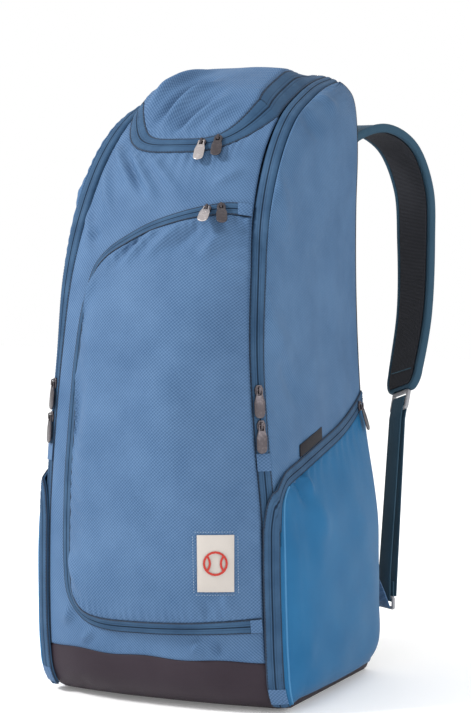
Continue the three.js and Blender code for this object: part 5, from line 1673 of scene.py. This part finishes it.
@dataclass
class Straps:
    """Padded shoulder straps, laid out by distance across, along and out from the strap."""

    finishes: Finishes
    reach: float = 180.0
    pad_width: float = 60.0
    pad_thick: float = 9.0
    mesh_width: float = 47.0
    mesh_thick: float = 3.0
    mesh_drop: float = 5.4
    binding: float = 7.0
    binding_overlap: float = 0.8
    binding_fullness: float = 2.4
    binding_power: float = 0.7
    tongue: float = 24.0
    tongue_share: float = 0.5
    root: float = 24.0
    knots: Sequence[tuple[float, float, float, float]] = (
        (0.520, 0.0712, 0.870, 0), (0.560, 0.290, 0.903, 4), (0.690, 0.600, 0.917, 9),
        (0.820, 0.870, 0.887, 14), (0.912, 1.000, 0.815, 18), (0.942, 0.995, 0.722, 22),
        (0.960, 0.930, 0.596, 28), (0.970, 0.735, 0.492, 34), (0.976, 0.660, 0.460, 36),
    )

    def __post_init__(self) -> None:
        """Samples the strap's middle line and its directions."""
        rows = np.array(self.knots)
        count = 400
        points = np.stack(
            [rows[:, 0] * BODY.half_width, BODY.back_plane + rows[:, 1] * self.reach,
             rows[:, 2] * BODY.height], axis=1,
        )
        self.centre = catmull_line(points, count)
        places = np.linspace(0, len(rows) - 1, count)
        turn = np.radians(np.interp(places, range(len(rows)), rows[:, 3]))
        along = unit(np.gradient(self.centre, axis=0))
        level = np.stack([np.cos(turn), -np.sin(turn), 0 * turn], axis=1)
        self.out = unit(np.cross(level, along))
        self.across = np.cross(along, self.out)
        self.distance = running_length(self.centre)

    def place(self, u: Array, v: Array, h: Array) -> Array:
        """Points at a distance across, along and out from the strap, in millimetres."""
        base, across, out = (
            read_rows(v, self.distance, rows) for rows in (self.centre, self.across, self.out)
        )
        return base + across * u[..., None] + out * h[..., None]

    def half(self, v: Array, width: float) -> Array:
        """Half width of the pad, rounded at its lower end."""
        left = np.clip((self.distance[-1] - v) / self.tongue, 0, 1)
        rounded = np.sqrt(1 - (1 - left) ** 2)
        return width / 2 * (self.tongue_share + (1 - self.tongue_share) * rounded)

    def steps(self, start: float, cut: float = 0.0) -> Array:
        """Distances along the strap, closer together at its rounded end."""
        last = self.distance[-1] - cut
        bend = last - self.tongue
        turned = bend + self.tongue * np.sin(np.linspace(0, math.pi / 2, 16))
        return np.concatenate([np.linspace(start, bend, 110)[:-1], turned])

    def padded_rings(
        self, v: Array, width: float, thick: float, power: float, drop: float = 0.0
    ) -> Array:
        """Rings of a rounded flat body along the strap."""
        x, y = squared_circle(36, power)
        u = x[None] * self.half(v, width)[:, None]
        along = np.broadcast_to(v[:, None], u.shape)
        return self.place(u, along, y[None] * thick / 2 - drop + 0 * u)

    def binding_rings(self) -> Array:
        """Rings of the bound edge, down one side, round the end and up the other."""
        v = self.steps(0.0)
        inset = self.binding / 2 - self.binding_overlap
        u = self.half(v, self.pad_width) - inset
        end = np.linspace(-u[-1], u[-1], 12)[1:-1]
        path = np.concatenate(
            [
                np.stack([-u, np.minimum(v, v[-1] - inset)], axis=1),
                np.stack([end, np.full_like(end, v[-1] - inset)], axis=1),
                np.stack([u, np.minimum(v, v[-1] - inset)], axis=1)[::-1],
            ]
        )
        path = even_line(path, 420)
        ahead = unit(np.gradient(path, axis=0))
        x, y = squared_circle(16, self.binding_power)
        wide = x * self.binding / 2
        high = y * (self.pad_thick + self.binding_fullness) / 2
        u = path[:, :1] - ahead[:, 1:] * wide[None]
        v = path[:, 1:] + ahead[:, :1] * wide[None]
        return self.place(u, v, np.broadcast_to(high[None], u.shape))

    def _seam(self, side: str, left: bool) -> None:
        """Two rows of stitches on the binding and one across the mesh near its end."""
        v = self.steps(4.0, 6.0)
        edge = self.half(v, self.pad_width) - self.binding
        face = self.mesh_drop + self.mesh_thick / 2
        for number, sign in enumerate((-1, 1)):
            line = self.place(sign * edge, v, np.full_like(v, -(self.pad_thick / 2 + 1.1)))
            aside = self.place(edge + 1, v, 0 * v) - self.place(edge, v, 0 * v)
            normals = unit(-np.cross(aside, np.gradient(line, axis=0)))
            Stitches().run(
                f"strap_stitches_{side}_{number}", line, normals, self.finishes.strap_thread,
                "teal_tape", left,
            )
        u = np.linspace(-self.mesh_width / 2 + 4, self.mesh_width / 2 - 4, 30)
        v = np.full_like(u, self.distance[-1] - self.tongue - 3)
        bar = round_rings(self.place(u, v, np.full_like(u, -face)), 0.7, 8)
        piece = MeshMaker.sweep(f"strap_cross_seam_{side}", bar, left)
        dress(piece, self.finishes.strap_thread)

    def build(self) -> None:
        """Makes both straps."""
        for side, left in SIDES:
            rings = self.padded_rings(self.steps(0.0), self.pad_width - 1.5, self.pad_thick, 0.4)
            pad = MeshMaker.sweep(f"strap_cloth_{side}", rings, left)
            dress(pad, self.finishes.strap, [f"strap_pad_{side}"])
            rings = self.padded_rings(
                self.steps(self.root, 5.0), self.mesh_width, self.mesh_thick, 0.5, self.mesh_drop
            )
            mesh = MeshMaker.sweep(f"strap_air_mesh_{side}", rings, left)
            dress(mesh, self.finishes.mesh, [f"strap_mesh_{side}"])
            bound = MeshMaker.sweep(f"strap_binding_{side}", self.binding_rings(), left)
            dress(bound, self.finishes.strap)
            self._seam(side, left)


class Facing(Enum):
    """Level direction in which a flat small piece's cloth runs."""

    FRONT = (1.0, 0.0, 0.0)
    SIDE = (0.0, 1.0, 0.0)
    STRAP = (0.82, -0.57, 0.0)


@dataclass
class CastPieces:
    """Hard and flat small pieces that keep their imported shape, with softened edges."""

    finishes: Finishes
    weld: float = 0.00001
    flat_angle: float = 0.02
    sharp_angle: float = 0.5
    label_station: float = 0.18
    label_rounds: int = 6

    def soften(
        self, node: str, name: str, width: float, material: bpy.types.Material,
        facing: Facing = Facing.FRONT, grow: float = 0.0,
    ) -> bpy.types.Object:
        """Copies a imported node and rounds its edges.

        Args:
            node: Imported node.
            name: Name of the new piece.
            width: Width of the rounding, in millimetres.
            material: Its material.
            facing: Direction in which its cloth runs.
            grow: Fullness added all round, in millimetres.

        Returns:
            The new object.
        """
        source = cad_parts[node]
        data = bpy.data.meshes.new(name)
        form = bmesh.new()
        form.from_mesh(source.data)
        bmesh.ops.remove_doubles(form, verts=form.verts, dist=self.weld)
        bmesh.ops.dissolve_limit(
            form, angle_limit=self.flat_angle, verts=form.verts, edges=form.edges
        )
        form.normal_update()
        for corner in form.verts:
            corner.co += corner.normal * grow * METRE
        whole = [edge for edge in form.edges if edge.is_manifold]
        sharp = [edge for edge in whole if edge.calc_face_angle(0) > self.sharp_angle]
        bmesh.ops.bevel(
            form, geom=sharp, offset=width * METRE, segments=2, affect="EDGES", profile=0.5,
            clamp_overlap=True,
        )
        form.to_mesh(data)
        form.free()
        points = np.zeros(len(data.vertices) * 3)
        data.vertices.foreach_get("co", points)
        points = points.reshape(-1, 3) * ((-1 if node.endswith("_left") else 1), 1, 1)
        uv = np.stack([points @ np.array(facing.value), points[:, 2]], axis=1)
        return dress(MeshMaker.link(name, data, uv), material, [node])

    def flats(self) -> None:
        """Makes the webbing, tabs, label, tag and end patches."""
        looks = self.finishes
        for side in ("right", "left"):
            self.soften(f"strap_webbing_{side}", f"webbing_strand_{side}", 0.35, looks.webbing,
                        Facing.STRAP)
            self.soften(f"strap_anchor_{side}", f"anchor_tab_{side}", 0.4, looks.diamond,
                        Facing.SIDE)
            for stem in ("main", "side"):
                self.soften(f"{stem}_zip_end_{side}", f"{stem}_end_cover_{side}", 0.25,
                            looks.diamond, Facing.FRONT)
        for place in ("top", "low"):
            self.soften(f"pocket_zip_end_{place}", f"pocket_end_cover_{place}", 0.25, looks.diamond,
                        Facing.FRONT)
        self.soften("side_tag_right", "woven_tag", 0.25, looks.tag, Facing.SIDE)
        self.soften("front_patch", "label_plate", 0.3, looks.label, Facing.FRONT)

    def frame_label(self, margin: float = 3.4, inset: float = 1.9) -> None:
        """Sews pale stitches into the pocket round the label."""
        box = [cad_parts["front_patch"].matrix_world @ Vector(corner)
               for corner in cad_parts["front_patch"].bound_box]
        xs, zs = [p.x / METRE for p in box], [p.z / METRE for p in box]
        x0, x1 = min(xs) - margin, max(xs) + margin
        z0, z1 = min(zs) - margin, max(zs) + margin
        count = 60
        across = np.linspace(x0, x1, count)
        for number, z in enumerate((z0, z1)):
            self._label_row(f"label_stitches_level_{number}", across, np.full(count, z), inset)
        upward = np.linspace(z0, z1, count)
        for number, x in enumerate((x0, x1)):
            self._label_row(f"label_stitches_upright_{number}", np.full(count, x), upward, inset)

    def _label_row(self, name: str, aside: Array, level: Array, inset: float) -> None:
        """Sews one row of stitches at given distances aside and above the floor."""
        girth, station = aside.copy(), np.full_like(aside, self.label_station)
        for _ in range(self.label_rounds):
            reached = BODY.place(girth, station, POCKET.height(girth, station) + inset)
            station = station + (level - reached[:, 2]) / BODY.per_station(girth, station)
            girth = girth + aside - reached[:, 0]
        line = BODY.place(girth, station, POCKET.height(girth, station) + inset)
        Stitches(length=1.9, pitch=3.0, radius=0.3).run(
            name, line, BODY.normal(girth, station), self.finishes.pale_thread, "label_cloth"
        )

    def build(self) -> None:
        """Makes the flat pieces, sliders, pulls, buckles and rings."""
        self.flats()
        self.frame_label()
        for node in sorted(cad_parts):
            if node.endswith("_slider"):
                name = node.replace("_slider", "_runner")
                self.soften(node, name, 0.35, self.finishes.dark_metal)
            elif node.endswith("_pull"):
                bright = node in ("lid_a_pull", "pocket_a_pull")
                metal = self.finishes.silver if bright else self.finishes.dark_metal
                self.soften(node, node.replace("_pull", "_paddle"), 0.4, metal)
            elif node.startswith(("strap_adjuster", "strap_ring")):
                name = node.replace("strap_", "moulded_")
                self.soften(node, name, 0.9, self.finishes.plastic, grow=0.5)
            elif node == "patch_motif":
                self.soften(node, "raised_figure", 0.25, self.finishes.red)


@dataclass
class Studio:
    """Camera, floor and light."""

    target: tuple[float, float, float] = (0.02035, 0.0, 0.39686)
    place: tuple[float, float, float] = (1.17188, -2.38207, 0.55968)
    lens: float = 110.07
    floor_reach: float = 6.0
    floor_glow: float = 0.14
    lamps: Sequence[tuple[str, Sequence[float], float, float]] = (
        ("key", (-2.0, -1.9, 2.5), 0.7, 112),
        ("fill", (2.4, -1.4, 1.2), 1.4, 18),
    )

    def camera(self) -> None:
        """Makes the camera at the photograph's view."""
        data = bpy.data.cameras.new("view")
        data.lens = self.lens
        data.sensor_width = 36
        data.clip_end = 50
        bpy.context.scene.camera = self._stand("view", data, self.place)

    def _stand(self, name: str, data: bpy.types.ID, place: Sequence[float]) -> bpy.types.Object:
        """Puts a camera or a lamp in its place, facing the bag."""
        made = bpy.data.objects.new(name, data)
        made.location = place
        look = Vector(self.target) - Vector(place)
        made.rotation_euler = look.to_track_quat("-Z", "Y").to_euler()
        bpy.context.scene.collection.objects.link(made)
        return made

    def build(self) -> None:
        """Makes the floor, the lamps and the surroundings."""
        reach = self.floor_reach
        corners = ((-1, -1, 0), (1, -1, 0), (1, 1, 0), (-1, 1, 0))
        floor = MeshMaker.mesh("floor", np.array(corners) * reach / METRE, [[0, 1, 2, 3]])
        wires = Wiring("pale_floor")
        colour = wires.blend(wires.noise(600.0), shade(248, 248, 248, 1), shade(255, 255, 255, 1))
        facts = {"Roughness": 0.7, "Emission Strength": self.floor_glow}
        material = wires.finish(colour, wires.noise(3.0), 0.02, facts)
        wires.shader.inputs["Emission Color"].default_value = (1, 1, 1, 1)
        floor.data.materials.append(material)
        world = bpy.data.worlds.new("studio")
        bpy.context.scene.world = world
        world.use_nodes = True
        world.node_tree.nodes["Background"].inputs[0].default_value = (1, 1, 1, 1)
        world.node_tree.nodes["Background"].inputs[1].default_value = 1.0
        bpy.context.scene.view_settings.view_transform = "Standard"
        for name, place, size, power in self.lamps:
            data = bpy.data.lights.new(name, "AREA")
            data.size = size
            data.energy = power
            self._stand(name, data, place)


def main() -> None:
    """Builds the bag piece by piece."""
    logging.basicConfig(level=logging.INFO, format="%(message)s")
    studio = Studio()
    studio.camera()
    finishes = Finishes()
    cloth = BodyCloth(finishes)
    cloth.build()
    POCKET.build(finishes)
    SIDE_POCKET.build(finishes)
    ZipTapes(finishes).build(cloth)
    Base(cloth, finishes).build()
    BackPad(finishes).build()
    Straps(finishes).build()
    CastPieces(finishes).build()
    studio.build()
    LOG.info("sizes written")


if __name__ == "__main__":
    main()
